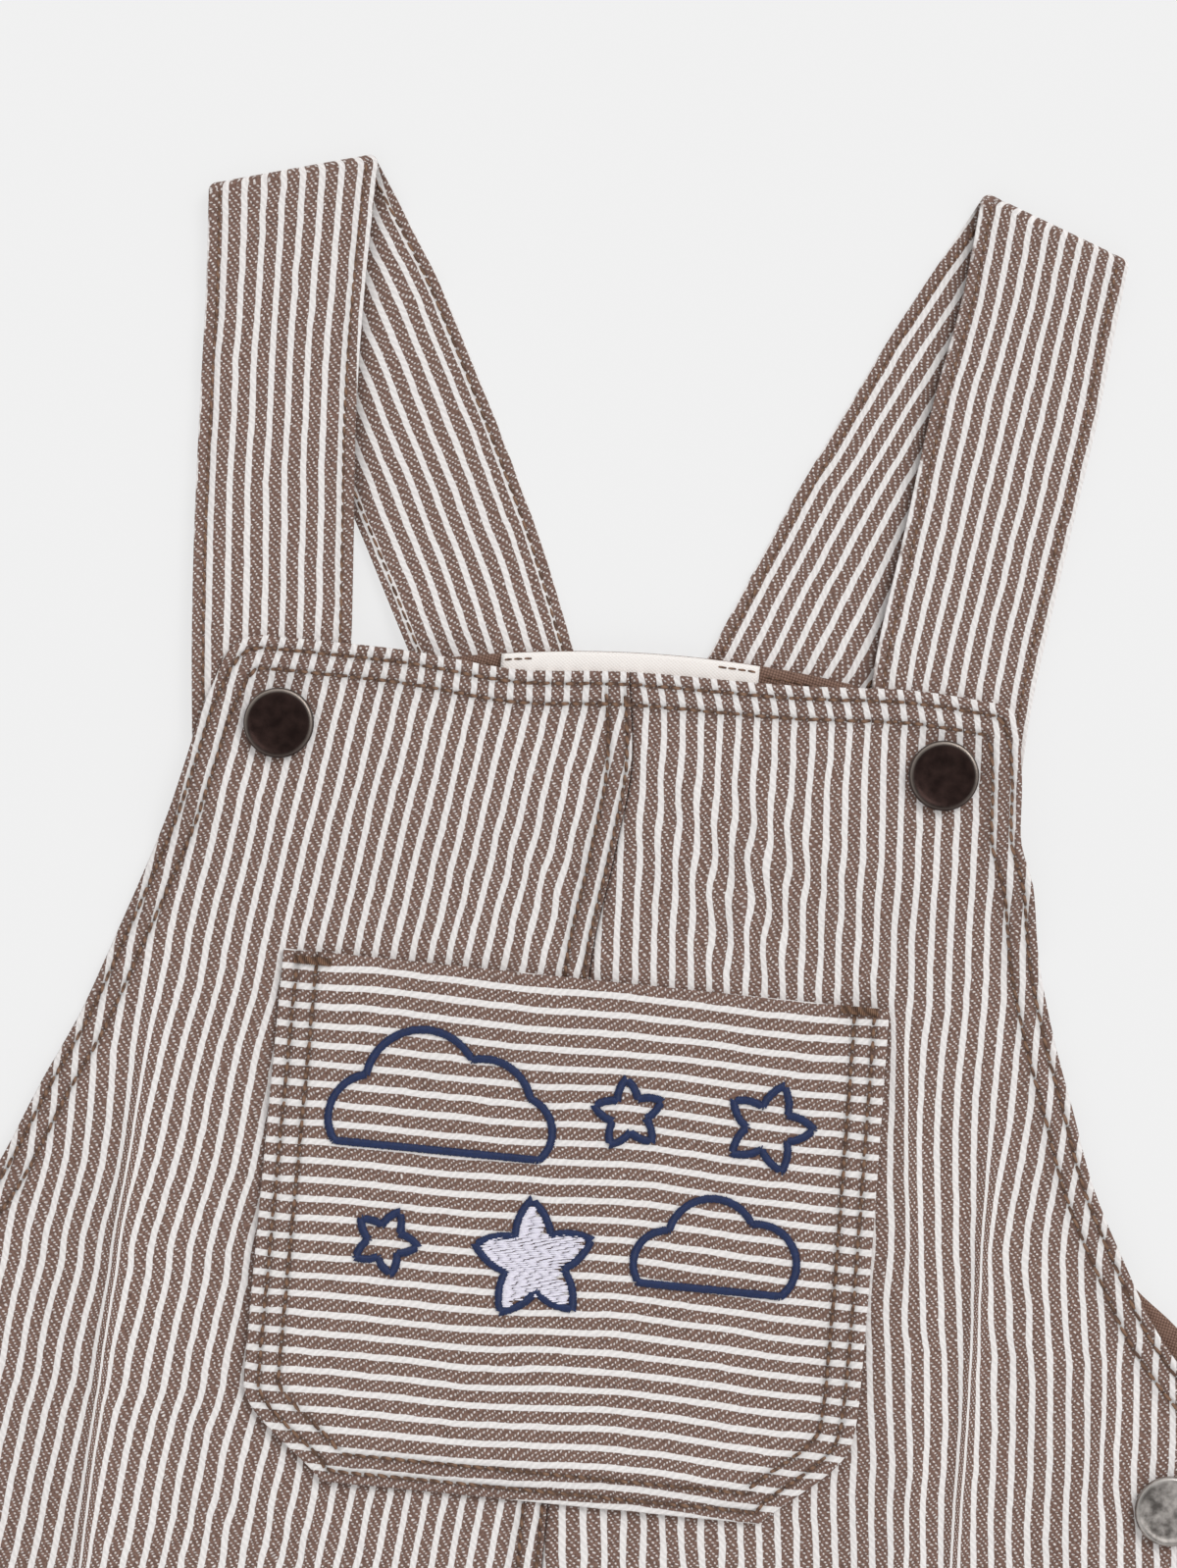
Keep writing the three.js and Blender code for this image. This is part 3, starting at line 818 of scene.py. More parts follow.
def plain_weave():
    """Plain-weave cotton: threads over and under in both directions, with dark gaps."""
    material, tree = new_material("brown_plain_weave_cotton")
    cloth = add(tree, "UVMap", uv_map="cloth")
    turned = add(
        tree, "VectorRotate", {"Vector": cloth, "Angle": math.radians(12)},
        rotation_type="Z_AXIS",
    )
    axes = add(tree, "SeparateXYZ", [turned])
    waves = []
    for axis in axes.outputs[:2]:
        turn = maths(tree, "MULTIPLY", axis, math.pi / FACING_THREAD)
        wave = maths(tree, "SINE", turn)
        waves.append(maths(tree, "ABSOLUTE", wave))
    thread = maths(tree, "MULTIPLY", *waves)
    place = add(tree, "TexCoord").outputs["Object"]
    uneven = noisy(tree, place, 500.0, 2.0)
    thread = maths(tree, "MULTIPLY_ADD", uneven, 0.5, thread)
    lit = add(tree, "MapRange", [thread, 0.25, 0.8, 0.0, 1.0])
    colour = mix(tree, lit, linear(FACING_DARK), linear(FACING_BROWN))
    bump = bumped(tree, thread, 0.5, 0.0002)
    return surfaced(
        material,
        {
            "Base Color": colour, "Roughness": 0.9, "Normal": bump, "IOR": 1.5,
            "Specular IOR Level": 0.2, "Sheen Weight": 0.1,
        },
    )


facing_cotton = plain_weave()


def facing_half(side, name):
    ups = span(FACING_BOTTOM, BACK_TOP, 100)
    count = 40

    def point(j, i):
        up = ups[i]
        outer = along(BACK_EDGE, up)
        strip = outer - FACING_DEPTH
        band = ramp(up, -75, -45)
        inner = strip + (SEAM_GAP / 6 - strip) * band
        t = j / count if side > 0 else 1 - j / count
        x = side * (inner + (outer - inner) * t)
        y = up + back_lift(x, up)
        edge = min(outer - abs(x), BACK_TOP - up)
        z = facing_under(x, y) + CLOTH - beside(edge, *FACING_FALL)
        return x, y, z, x, y, 0.0

    return cloth_wall(name, count, len(ups) - 1, point, lambda x, y: CLOTH, CLOTH, facing_cotton)


for side, word in HALVES:
    facing = facing_half(side, "cloth_facing_" + word)
    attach(facing, "root")
    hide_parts("facing_" + word)


# Label
# A bare cream tape, woven with fine ribs across it. It lies on the facing and is sewn to it at
# both ends with brown thread.
LABEL_LEFT = -25.5
LABEL_RIGHT = 29.5
LABEL_BOTTOM = -17
LABEL_BELOW_EDGE = 0.15
LABEL_FALL = (0.25, 0.5)
LABEL_CREAM = "#fdf8f4"
LABEL_RIB = "#f5eee8"


def ribbed_tape():
    """Woven polyester tape: fine ribs across its length, a soft satin gloss."""
    material, tree = new_material("cream_woven_tape")
    cloth = add(tree, "UVMap", uv_map="cloth")
    axes = add(tree, "SeparateXYZ", [cloth])
    ribs = []
    for axis, pitch in zip(axes.outputs[:2], (0.9, 0.7)):
        turn = maths(tree, "MULTIPLY", axis, 2 * math.pi / pitch)
        ribs.append(maths(tree, "SINE", turn))
    weave = maths(tree, "MULTIPLY", *ribs)
    lit = add(tree, "MapRange", [weave, -0.8, 0.5, 0.0, 1.0])
    colour = mix(tree, lit, linear(LABEL_RIB), linear(LABEL_CREAM))
    bump = bumped(tree, weave, 0.3, 0.0001)
    return surfaced(
        material,
        {
            "Base Color": colour, "Roughness": 0.6, "Normal": bump, "IOR": 1.5,
            "Specular IOR Level": 0.35, "Sheen Weight": 0.1,
        },
    )


def label_point(j, i):
    x = LABEL_LEFT + (LABEL_RIGHT - LABEL_LEFT) * j / 60
    up = LABEL_BOTTOM + (BACK_TOP - LABEL_BELOW_EDGE - LABEL_BOTTOM) * i / 26
    y = up + back_lift(x, up)
    end = min(x - LABEL_LEFT, LABEL_RIGHT - x)
    z = facing_under(x, y) + 2 * CLOTH + SEAM_GAP - beside(end, *LABEL_FALL)
    return x, y, z, x, y, 0.0


label = cloth_wall("woven_label", 60, 26, label_point, lambda x, y: CLOTH, CLOTH, ribbed_tape())
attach(label, "root")
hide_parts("label")


# Straps
# Two tubes of the striped twill pressed flat and stitched along both edges. Each leaves the
# back's top edge, turns over on itself at a slant and comes down behind the bib's corner.
STRAP_SEWN = CLOTH + SEAM_GAP
STRAP_END = 2.75
STRAP_FOLD_GAP = 1.0
STRAP_ROW = 2.4
STRAP_COLUMNS = 34
STRAP_CROWD = 0.065
STRAP_STEPS = 96
STRAP_THINNING = 0.45
FOLD_STEPS = 12
FOLD_ROUND = 2.4
# The stripes shift from the back's places to the front's between these, past the fold
STRIPES_SHIFT = (-14, 2)
# The brown at a strap's left edge begins here, past the white stripe outside it
FIRST_BROWN = -3.25
# The left strap's right edge is gathered by its stitching, so its stripes crowd past this one,
# and the gathers end between these places past the fold
LAST_WHITE = 28.0
EDGE_GATHER = 0.42
GATHERS_END = (55, 25)
# A painted shadow darkens the back part along the front part's inner edge, which lies over it
UNDER_SHADE = 0.5
UNDER_REACH = 2.2

# left x, left y, right x, right y, height of the underside
STRAPS = {
    "left": {
        "back": [
            (-38, -13, -4, -10, STRAP_SEWN), (-47.9, 5.3, -10.3, 4.1, STRAP_SEWN),
            (-57.5, 23.5, -18.9, 25.2, 0), (-66.5, 40, -26.6, 41.3, 0),
            (-77.5, 60, -36.8, 61.4, 0), (-88, 79, -47.7, 81.4, 0),
            (-97.3, 93.8, -62.1, 103.8, 0),
        ],
        "front": [
            (-97.3, 93.8, -62.1, 103.8, 2.5), (-95.9, 73, -62.3, 76, 1.9),
            (-94.9, 50, -61.5, 50, 1.8), (-93.4, 22, -59.3, 22, 2.1),
            (-91.6, -1, -57.6, -1, STRAP_END), (-89.5, -22, -57, -22, STRAP_END),
            (-88.6, -32, -56.8, -32, STRAP_END),
        ],
        "white": {"back": 2.0, "front": 3.55},
        "stripes": {"back": 35.0, "front": 34.4},
    },
    "right": {
        "back": [
            (11, -12, 42, -13, STRAP_SEWN), (15.3, -1.5, 50, -4.5, STRAP_SEWN),
            (19.2, 7.5, 57, 5.5, 1.15), (26.6, 25.4, 63.5, 23.5, 0), (34.2, 43, 70, 41, 0),
            (42.6, 60.7, 79, 60, 0), (51, 78.4, 88.5, 78.5, 0), (66.9, 108.3, 99.3, 96.5, 0),
        ],
        "front": [
            (66.9, 108.3, 99.3, 96.5, 2.5), (64.9, 87, 97.7, 80, 1.9), (60.9, 64, 95.9, 62, 1.8),
            (57.6, 37, 92.5, 37, 2.1), (53.8, 5, 88.3, 5, 2.85),
            (56.2, -15, 87.2, -14, STRAP_END), (56.5, -31, 86.5, -31, STRAP_END),
        ],
        "white": {"back": 3.45, "front": 4.1},
        "stripes": {"back": 33.8, "front": 36.0},
    },
}


def curve_through(points, count):
    """Points on a smooth curve that passes through the given ones."""
    ends = [2 * points[0] - points[1]] + points + [2 * points[-1] - points[-2]]
    result = []
    for k in range(count + 1):
        place = k / count * (len(points) - 1)
        i = min(int(place), len(points) - 2)
        t = place - i
        a, b, c, d = ends[i:i + 4]
        result.append(
            0.5 * (2 * b + (c - a) * t + (2 * a - 5 * b + 4 * c - d) * t * t
                   + (3 * b - 3 * c + d - a) * t ** 3)
        )
    return result


def strap_curves(rows, raised, count):
    """Smooth lines along the left and the right ends of the rows, raised from the underside."""
    return [
        curve_through([Vector((row[end], row[end + 1], row[4] + raised)) for row in rows], count)
        for end in (0, 2)
    ]


def strap_sections(strap):
    """Left end, right end and weave direction of each section, from the stitched end round the fold.
    """
    sections = []
    half = STRAP_CLOTH / 2
    for part, sign in (("back", 1), ("front", -1)):
        rows = strap[part]
        lefts, rights = strap_curves(rows, half, STRAP_STEPS)
        for k, (left, right) in enumerate(zip(lefts, rights)):
            left.z = max(left.z, half)
            right.z = max(right.z, half)
            start = min(k, STRAP_STEPS - 1)
            way = lefts[start + 1] + rights[start + 1] - lefts[start] - rights[start]
            way = sign * Vector((way.x, way.y, 0)).normalized()
            sections.append((left, right, way))
        if part == "back":
            left = Vector((rows[-1][0], rows[-1][1], STRAP_CLOTH + STRAP_FOLD_GAP / 2))
            right = Vector((rows[-1][2], rows[-1][3], left.z))
            outward = Vector((-(right.y - left.y), right.x - left.x, 0)).normalized()
            radius = half + STRAP_FOLD_GAP / 2
            turned_way = 2 * way.dot(outward) * outward - way
            for k in range(1, FOLD_STEPS):
                angle = math.pi * (k / FOLD_STEPS - 0.5)
                away = radius * math.cos(angle) * outward + Vector((0, 0, radius * math.sin(angle)))
                round_off = FOLD_ROUND * (1 - math.sqrt(1 - (0.96 * math.cos(angle)) ** 2))
                pull = (right - left).normalized() * round_off
                weave = way if k < FOLD_STEPS / 2 else turned_way
                sections.append((left + away + pull, right + away - pull, weave))
    return sections


def strap_column(j):
    """Columns crowd together at both edges, where the stitching is."""
    t = j / STRAP_COLUMNS
    return t - STRAP_CROWD * math.sin(4 * math.pi * t)


def strap(word):
    sections = strap_sections(STRAPS[word])
    whites = STRAPS[word]["white"]
    stripes = STRAPS[word]["stripes"]
    travel = [0.0]
    for before, after in zip(sections, sections[1:]):
        middle = (after[0] + after[1] - before[0] - before[1]) / 2
        travel.append(travel[-1] + middle.length)
    fold = travel[len(travel) // 2]
    inner = 2 if word == "left" else 0
    inner_edge = [(row[inner + 1], row[inner]) for row in reversed(STRAPS[word]["front"])]
    tucks = []

    def point(j, i):
        left, right, way = sections[i]
        t = strap_column(j)
        place = left.lerp(right, t)
        width = (right - left).length
        edge = min(t, 1 - t) * width
        past = travel[i] - fold
        turned = ramp(past, *STRIPES_SHIFT)
        whole = stripes["back"] + (stripes["front"] - stripes["back"]) * turned
        first = whites["back"] + (whites["front"] - whites["back"]) * turned
        groove = bell(edge - STRAP_ROW, 0.4)
        run = min(travel[i], 2 * fold - travel[i]) + (place - (left + right) / 2).dot(way)
        stripe = max(t * whole - first, FIRST_BROWN)
        gathered = EDGE_GATHER * max(stripe - LAST_WHITE, 0) if word == "left" else 0.0
        stripe += gathered * ramp(past, *GATHERS_END)
        tucks.append(t * whole - first - stripe)
        # Painted shade in the stitch grooves, and a painted shadow beside the front part's inner edge
        shade = 0.6 * groove
        if past < -2:
            from_edge = place.x - along(inner_edge, place.y)
            shade = max(shade, UNDER_SHADE * bell(from_edge, UNDER_REACH))
        return place.x, place.y, place.z, stripe, run, shade

    shape = cloth_wall(
        "cloth_strap_" + word, STRAP_COLUMNS, len(sections) - 1, point,
        lambda x, y: STRAP_CLOTH, STRAP_CLOTH, twill,
    )
    shape.modifiers["wall"].offset = 0
    group = shape.vertex_groups["thickness"]
    for vertex in shape.data.vertices:
        sewn = shape.data.attributes["sewn"].data[vertex.index].value
        group.add([vertex.index], 1 - STRAP_THINNING * sewn, "REPLACE")
    shape.data.attributes.new("tuck", "FLOAT", "POINT").data.foreach_set("value", tucks)
    return shape


for word in STRAPS:
    cloth = strap(word)
    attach(cloth, "root")
    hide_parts("strap_" + word)


# Pocket
# A patch of the same twill turned sideways, so that its stripes run across, with its bottom
# corners cut off. Its sides and bottom are turned under and stitched twice to the bib.
POCKET_TOP = -65
POCKET_CORNER = -158
POCKET_BOTTOM = -177
POCKET_DROP = 0.5
POCKET_FIRST_WHITE = 3.2
POCKET_STRIPE = 4.05
POCKET_SIDE_ROWS = (3.1, 7.3)
POCKET_FOOT_ROWS = (2.4, 6.2)
POCKET_RISE = 0.4
POCKET_HEM = (26, 21)
POCKET_HEM_RISE = 0.35
POCKET_HEM_FROM_SIDE = (3, 12)
MOUTH_FALL = (0.3, 0.6)
POCKET_REACHES = EDGE_COLUMNS + [11.5]
POCKET_MIDDLE = 56

# up, left edge, right edge
POCKET_EDGE = [
    (POCKET_BOTTOM, -46.4, 47.1), (POCKET_CORNER, -65, 65), (-150, -65.2, 65.7),
    (POCKET_TOP, -65.6, 64.1),
]
pocket_ups = span(POCKET_TOP, POCKET_CORNER, 200) + span(POCKET_CORNER - 0.5, POCKET_BOTTOM, 60)
pocket_line = [(along(POCKET_EDGE, up, 2), up) for up in pocket_ups]
pocket_line += [(x, POCKET_BOTTOM) for x in span(46.6, -46, 120)]
pocket_line += [(along(POCKET_EDGE, up, 1), up) for up in reversed(pocket_ups)]
pocket_line = spaced(pocket_line, EDGE_STEP)
pocket_tree = nearest_on(pocket_line)


def pocket_rows(y):
    foot = ramp(y, POCKET_BOTTOM + 2.5, POCKET_BOTTOM + 0.5)
    return [a + (b - a) * foot for a, b in zip(POCKET_SIDE_ROWS, POCKET_FOOT_ROWS)]


def pocket_face(x, y):
    _, number, distance = pocket_tree.find((x, y, 0))
    rows = pocket_rows(pocket_line[number][1])
    lift, shade = sewn_edge(distance, number * EDGE_STEP, rows, POCKET_RISE)
    under = front_under(x, y) + CLOTH + 2 * SEAM_GAP
    mouth = POCKET_TOP - y
    height = under + CLOTH + lift + 0.8 * undulation(x + 40, y) - beside(mouth, *MOUTH_FALL)
    from_side = ramp(distance, *POCKET_HEM_FROM_SIDE)
    height += POCKET_HEM_RISE * ramp(mouth, *POCKET_HEM) * from_side
    return height, shade


def pocket_columns(up):
    left = along(POCKET_EDGE, up, 1)
    width = along(POCKET_EDGE, up, 2) - left
    middle = span(POCKET_REACHES[-1], width - POCKET_REACHES[-1], POCKET_MIDDLE)[1:-1]
    right_edge = [width - reach for reach in reversed(POCKET_REACHES)]
    return [left + reach for reach in POCKET_REACHES + middle + right_edge]


def pocket_point(j, i):
    up = pocket_grid_ups[i]
    x = pocket_grid_columns[i][j]
    drop = POCKET_DROP * ramp(up, POCKET_BOTTOM, POCKET_TOP) * ramp(x, -65, 65)
    y = up - drop
    z, shade = pocket_face(x, y)
    sway = 0.9 * math.sin(x / 21 + 0.6) * ramp(POCKET_TOP - y, 4, 40) + 0.35 * math.sin(x / 9)
    below = POCKET_TOP - y - drop - POCKET_FIRST_WHITE
    return x, y, z, (below + sway) * STRIPE / POCKET_STRIPE, x, shade


pocket_grid_ups = [POCKET_BOTTOM + depth for depth in EDGE_COLUMNS]
pocket_grid_ups += span(POCKET_BOTTOM + POCKET_REACHES[-1], POCKET_TOP - 2, POCKET_MIDDLE)
pocket_grid_ups += [POCKET_TOP - 1.2, POCKET_TOP - 0.5, POCKET_TOP]
pocket_grid_columns = [pocket_columns(up) for up in pocket_grid_ups]
pocket = cloth_wall(
    "cloth_pocket", len(pocket_grid_columns[0]) - 1, len(pocket_grid_ups) - 1, pocket_point,
    lambda x, y: CLOTH + 0.2, CLOTH + 0.2, twill,
)
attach(pocket, "root")
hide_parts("pocket")


# Topstitching
# Brown polyester thread in lockstitch, each stitch a short bead that dips into the cloth at
# both ends. The rows follow the turned edges, the centre seam, the pocket and the straps.
THREAD = 1.0
STITCH = 2.8
STITCH_GAP = 0.35
BEAD_BLUNT = 0.45
THREAD_BROWN = "#85654f"
THREAD_DARK = "#553d2f"


def spun_thread():
    """Spun polyester: two plies twisted together, slightly glossy."""
    material, tree = new_material("brown_polyester_thread")
    place = add(tree, "TexCoord").outputs["Object"]
    ply = add(
        tree, "TexWave", {"Vector": place, "Scale": 260.0, "Distortion": 2.0},
        bands_direction="DIAGONAL",
    )
    twist = ply.outputs["Fac"]
    colour = mix(tree, twist, linear(THREAD_DARK), linear(THREAD_BROWN))
    bump = bumped(tree, twist, 0.4, 0.0001)
    return surfaced(
        material,
        {
            "Base Color": colour, "Roughness": 0.6, "Normal": bump, "IOR": 1.5,
            "Specular IOR Level": 0.4,
        },
    )


def bead(sides=6, rings=4):
    """Points and faces of one stitch along X, from -0.5 to 0.5, tapered to both ends."""
    shape = bmesh.new()
    bmesh.ops.create_uvsphere(shape, u_segments=sides, v_segments=rings, radius=0.5)
    turn = Matrix.Rotation(math.pi / 2, 3, "Y")
    bmesh.ops.rotate(shape, verts=shape.verts, cent=(0, 0, 0), matrix=turn)
    shape.verts.ensure_lookup_table()
    points = [vertex.co.copy() for vertex in shape.verts]
    faces = [[vertex.index for vertex in face.verts] for face in shape.faces]
    shape.free()
    for point in points:
        point.x = 0.5 * math.copysign(abs(2 * point.x) ** BEAD_BLUNT, point.x)
    return points, faces


STITCH_POINTS, STITCH_FACES = bead()


def lay(mesh, x, y, angle, length, wide, high, lift):
    """One stitch: its middle, its way, its size, and lift(share) for the cloth along it."""
    points, faces = mesh
    first = len(points)
    dx, dy = math.cos(angle), math.sin(angle)
    for p in STITCH_POINTS:
        reach, aside = p.x * length, p.y * wide
        up = lift(p.x) + p.z * high
        points.append(at(x + dx * reach - dy * aside, y + dy * reach + dx * aside, up))
    faces.extend([[first + k for k in face] for face in STITCH_FACES])


def stitched(name, stitches, material, flat=False):
    """All the stitches of a piece as one object."""
    points, faces = stitches
    mesh = bpy.data.meshes.new(name)
    mesh.from_pydata(points, [], faces, shade_flat=flat)
    piece = as_piece(name, mesh, material)
    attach(piece, "root")
    return piece


def sew(name, runs, material, thread=THREAD, slant=0.12, stitch=STITCH):
    """Rows of stitches; each run is a line of (x, y) and the height of the face under it."""
    mesh = ([], [])
    random.seed(name)
    for line, height in runs:
        path = spaced(line, stitch)
        for (ax, ay), (bx, by) in zip(path, path[1:]):
            length = math.hypot(bx - ax, by - ay)
            if length < stitch * 0.6:
                continue
            angle = math.atan2(by - ay, bx - ax) + slant + random.uniform(-0.05, 0.05)
            long = length - STITCH_GAP + random.uniform(-0.15, 0.1)
            mx, my = (ax + bx) / 2, (ay + by) / 2
            dx, dy = math.cos(angle), math.sin(angle)
            tilt = (height(mx + dx, my + dy) - height(mx - dx, my - dy)) / 2 * long
            base = height(mx, my) + 0.02
            lay(mesh, mx, my, angle, long, thread, 0.8 * thread, lambda share: base + tilt * share)
    return stitched(name, mesh, material)


def on_front(x, y):
    side = -1 if x < along(CENTRE_SEAM, y) else 1
    return front_face(x, y, side)[0]


def on_pocket(x, y):
    return pocket_face(x, y)[0]


brown_thread = spun_thread()

# from x, to x, distance below the back's edge, height of the face above the facing's underside
INNER_ROWS = [
    (-25, -17, 1.5, 2 * CLOTH + SEAM_GAP), (20.5, 29.2, 1.5, 2 * CLOTH + SEAM_GAP),
    (-52, -26.5, 2.2, CLOTH), (30.5, 52, 2.2, CLOTH),
]
inner_runs = []
for start, end, depth, rise in INNER_ROWS:
    line = [(x, BACK_TOP - depth + back_lift(x, BACK_TOP)) for x in span(start, end, 40)]
    inner_runs.append((line, lambda x, y, rise=rise: facing_under(x, y) + rise))
inner_stitches = sew("stitches_facing", inner_runs, brown_thread, thread=0.5, slant=0.0, stitch=2.1)

edge_runs = []
for row in (0, 1):
    edge_runs.append((inset(hem_line, lambda x, y, row=row: hem_rows(y)[row], 6), on_front))
for distance in CENTRE_ROWS:
    ups = span(CROTCH + 4, -3, 400)
    line = [(along(CENTRE_SEAM, up) - distance, up) for up in ups]
    edge_runs.append((line, on_front))
for side in (-1, 1):
    reach = span(along(INSEAM, HEM + LEG_HEM_ROW) + 2, along(BACK_EDGE, HEM + LEG_HEM_ROW) - 2, 60)
    edge_runs.append(([(side * x, HEM + LEG_HEM_ROW) for x in reach], on_front))
front_stitches = sew("stitches_front", edge_runs, brown_thread)

pocket_runs = []
for row in (0, 1):
    line = inset(pocket_line, lambda x, y, row=row: pocket_rows(y)[row], 5)
    pocket_runs.append(([p for p in line if p[1] < POCKET_TOP - 1.5], on_pocket))
pocket_stitches = sew("stitches_pocket", pocket_runs, brown_thread, slant=-0.12)

strap_runs = []
for word in STRAPS:
    for part in ("back", "front"):
        curves = strap_curves(STRAPS[word][part], 0, 60)
        for near_curve, far_curve in (curves, reversed(curves)):
            line = []
            heights = []
            for start, end in zip(near_curve, far_curve):
                place = start.lerp(end, STRAP_ROW / (end - start).length)
                line.append((place.x, place.y))
                heights.append(max(place.z, 0) + STRAP_CLOTH - 0.1)

            def height(x, y, line=line, heights=heights):
                return min(zip(line, heights), key=lambda spot: math.dist(spot[0], (x, y)))[1]

            strap_runs.append((line, height))
strap_stitches = sew("stitches_straps", strap_runs, brown_thread, thread=0.7, slant=0.05)


# Bartacks
# Short bars of close cross stitches that hold the top corners of the pocket.
BARTACKS = [(-59.1, -67.0), (57.7, -66.3)]
BAR_LENGTH = 7.6
BAR_WIDTH = 1.9
BAR_STITCHES = 18
BAR_THREAD = (0.55, 0.7)
BAR_ABOVE = 0.35
BAR_RISE = 0.28
bars = ([], [])
for middle_x, middle_y in BARTACKS:
    for place in span(-0.5, 0.5, BAR_STITCHES):
        x = middle_x + place * BAR_LENGTH
        face = on_pocket(x, min(middle_y, POCKET_TOP - 2)) + BAR_ABOVE
        top = face + BAR_RISE * (1 - (2 * place) ** 4)
        lay(bars, x, middle_y, math.pi / 2, BAR_WIDTH, *BAR_THREAD, lambda share: top)
bartacks = stitched("pocket_bartacks", bars, brown_thread, flat=True)


# Embroidery
# Two clouds outlined in a navy satin cord, and stars, one of them filled with white stitches.
# Each is made of short glossy stitches side by side, as an embroidery machine lays them.
SATIN_WIDTH = 2.0
SATIN_PITCH = 0.3
SATIN_THREAD = 0.42
SATIN_ARCH = 0.3
SATIN_ARCH_LENGTH = 1.4
SATIN_SLANT = math.radians(62)
SATIN_UNEVEN = (0.92, 1.1)
SATIN_ABOVE = 0.12
FILL_PITCH = 0.34
FILL_LENGTH = (2.2, 3.4)
FILL_ABOVE = 0.05
NAVY = "#24386a"
NAVY_DARK = "#111c38"
EMBROIDERY_WHITE = "#faf7ff"
EMBROIDERY_SHADE = "#dedae9"

# middle x, middle y, size, then each puff's x, y and radius
CLOUDS = [
    (-29, -98, 1.1, [(-13, -1, 8.5), (-4, 6, 11), (8, 3, 9.5), (15, -1, 7)]),
    (33, -123, 0.9, [(-12, -1, 8), (-2, 5, 10.5), (9, 1, 9.5)]),
]
CLOUD_FLOOR = -6.0
CLOUD_FLAT = 11.0

# middle x, middle y, outer radius, turn in degrees
STARS = [(11, -93, 7.5, 10), (41, -93, 9.5, -14), (-6, -126, 13, 8), (-38, -125, 7, -20)]
FILLED_STAR = 2


def cloud_outline(middle_x, middle_y, size, puffs):
    """The outer edge of overlapping round puffs above a flat floor."""
    line = []
    for k in range(361):
        angle = math.radians(k)
        dx, dy = math.cos(angle), math.sin(angle)
        reach = 0.0
        for x, y, radius in puffs:
            middle = x * dx + y * dy
            inside = middle ** 2 - (x * x + y * y - radius ** 2)
            if inside > 0:
                reach = max(reach, middle + math.sqrt(inside))
        if dy < 0:
            flat = CLOUD_FLOOR / dy
            reach = flat if abs(flat * dx) < CLOUD_FLAT else min(reach, flat)
        line.append((middle_x + size * reach * dx, middle_y + size * reach * dy))
    return line


def star_outline(middle_x, middle_y, radius, turn):
    """Five softly rounded points."""
    line = []
    for k in range(361):
        angle = math.radians(k)
        point = abs(((k + 36) % 72) - 36) / 36
        reach = radius * (0.5 + 0.5 * (1 - point) ** 1.15)
        bearing = angle + math.radians(turn + 90)
        line.append((middle_x + reach * math.cos(bearing), middle_y + reach * math.sin(bearing)))
    return line


def inside_line(line, x, y):
    crossings = 0
    for (ax, ay), (bx, by) in zip(line, line[1:]):
        if (ay > y) != (by > y) and x < ax + (y - ay) / (by - ay) * (bx - ax):
            crossings += 1
    return crossings % 2 == 1


def glossy_thread(name, light, dark):
    """Rayon embroidery thread: smooth and glossy, its colour mottled between a deeper and a lighter
    tone.
    """
    material, tree = new_material(name)
    place = add(tree, "TexCoord").outputs["Object"]
    ply = noisy(tree, place, 1500.0, 2.0)
    colour = mix(tree, ply, linear(dark), linear(light))
    return surfaced(
        material,
        {
            "Base Color": colour, "Roughness": 0.45, "IOR": 1.5, "Specular IOR Level": 0.4,
        },
    )


def satin(stitches, name, material):
    """Arched stitches: from x, from y, to x, to y, height above the pocket."""
    mesh = ([], [])
    for ax, ay, bx, by, above in stitches:
        mx, my = (ax + bx) / 2, (ay + by) / 2
        length = math.hypot(bx - ax, by - ay)
        base = on_pocket(mx, my) + above
        arch = SATIN_ARCH * min(length, SATIN_ARCH_LENGTH)
        lay(
            mesh, mx, my, math.atan2(by - ay, bx - ax), length, SATIN_THREAD, SATIN_THREAD,
            lambda share: base + arch * max(1 - 4 * share ** 2, 0.0) ** 0.5,
        )
    return stitched(name, mesh, material)


random.seed(5)
outlines = [cloud_outline(*cloud) for cloud in CLOUDS] + [star_outline(*star) for star in STARS]
cord = []
for outline in outlines:
    path = spaced(outline, SATIN_PITCH)
    for (ax, ay), (bx, by) in zip(path, path[1:]):
        angle = math.atan2(by - ay, bx - ax) + SATIN_SLANT
        half = SATIN_WIDTH / 2 * random.uniform(*SATIN_UNEVEN)
        dx, dy = half * math.cos(angle), half * math.sin(angle)
        cord.append((ax - dx, ay - dy, ax + dx, ay + dy, SATIN_ABOVE))
navy_stitches = satin(cord, "embroidery_outlines", glossy_thread("navy_rayon", NAVY, NAVY_DARK))

fill = []
filled = outlines[len(CLOUDS) + FILLED_STAR]
star_x, star_y, star_reach, _ = STARS[FILLED_STAR]
for k in range(int(2 * star_reach / FILL_PITCH)):
    y = star_y - star_reach + k * FILL_PITCH
    x = star_x - star_reach + random.uniform(0, 2)
    while x < star_x + star_reach:
        end = x + random.uniform(*FILL_LENGTH)
        if inside_line(filled, x, y) and inside_line(filled, end, y):
            fill.append((x, y, end, y + 0.25, FILL_ABOVE))
        x = end - 0.2 if inside_line(filled, x, y) else x + 0.4
white_rayon = glossy_thread("white_rayon", EMBROIDERY_WHITE, EMBROIDERY_SHADE)
fill_stitches = satin(fill, "embroidery_filling", white_rayon)


# Snap caps
# Stamped metal caps pressed over the snaps: a low disc with a rolled rim, and a face that
# sinks a little inside it. The bib's are plated dark bronze, the side ones worn pewter.
CAP_RADIUS = 7.5
CAP_HEIGHT = 2.2

RIM_RADIUS = 7.0
RIM_WIDTH = 0.3

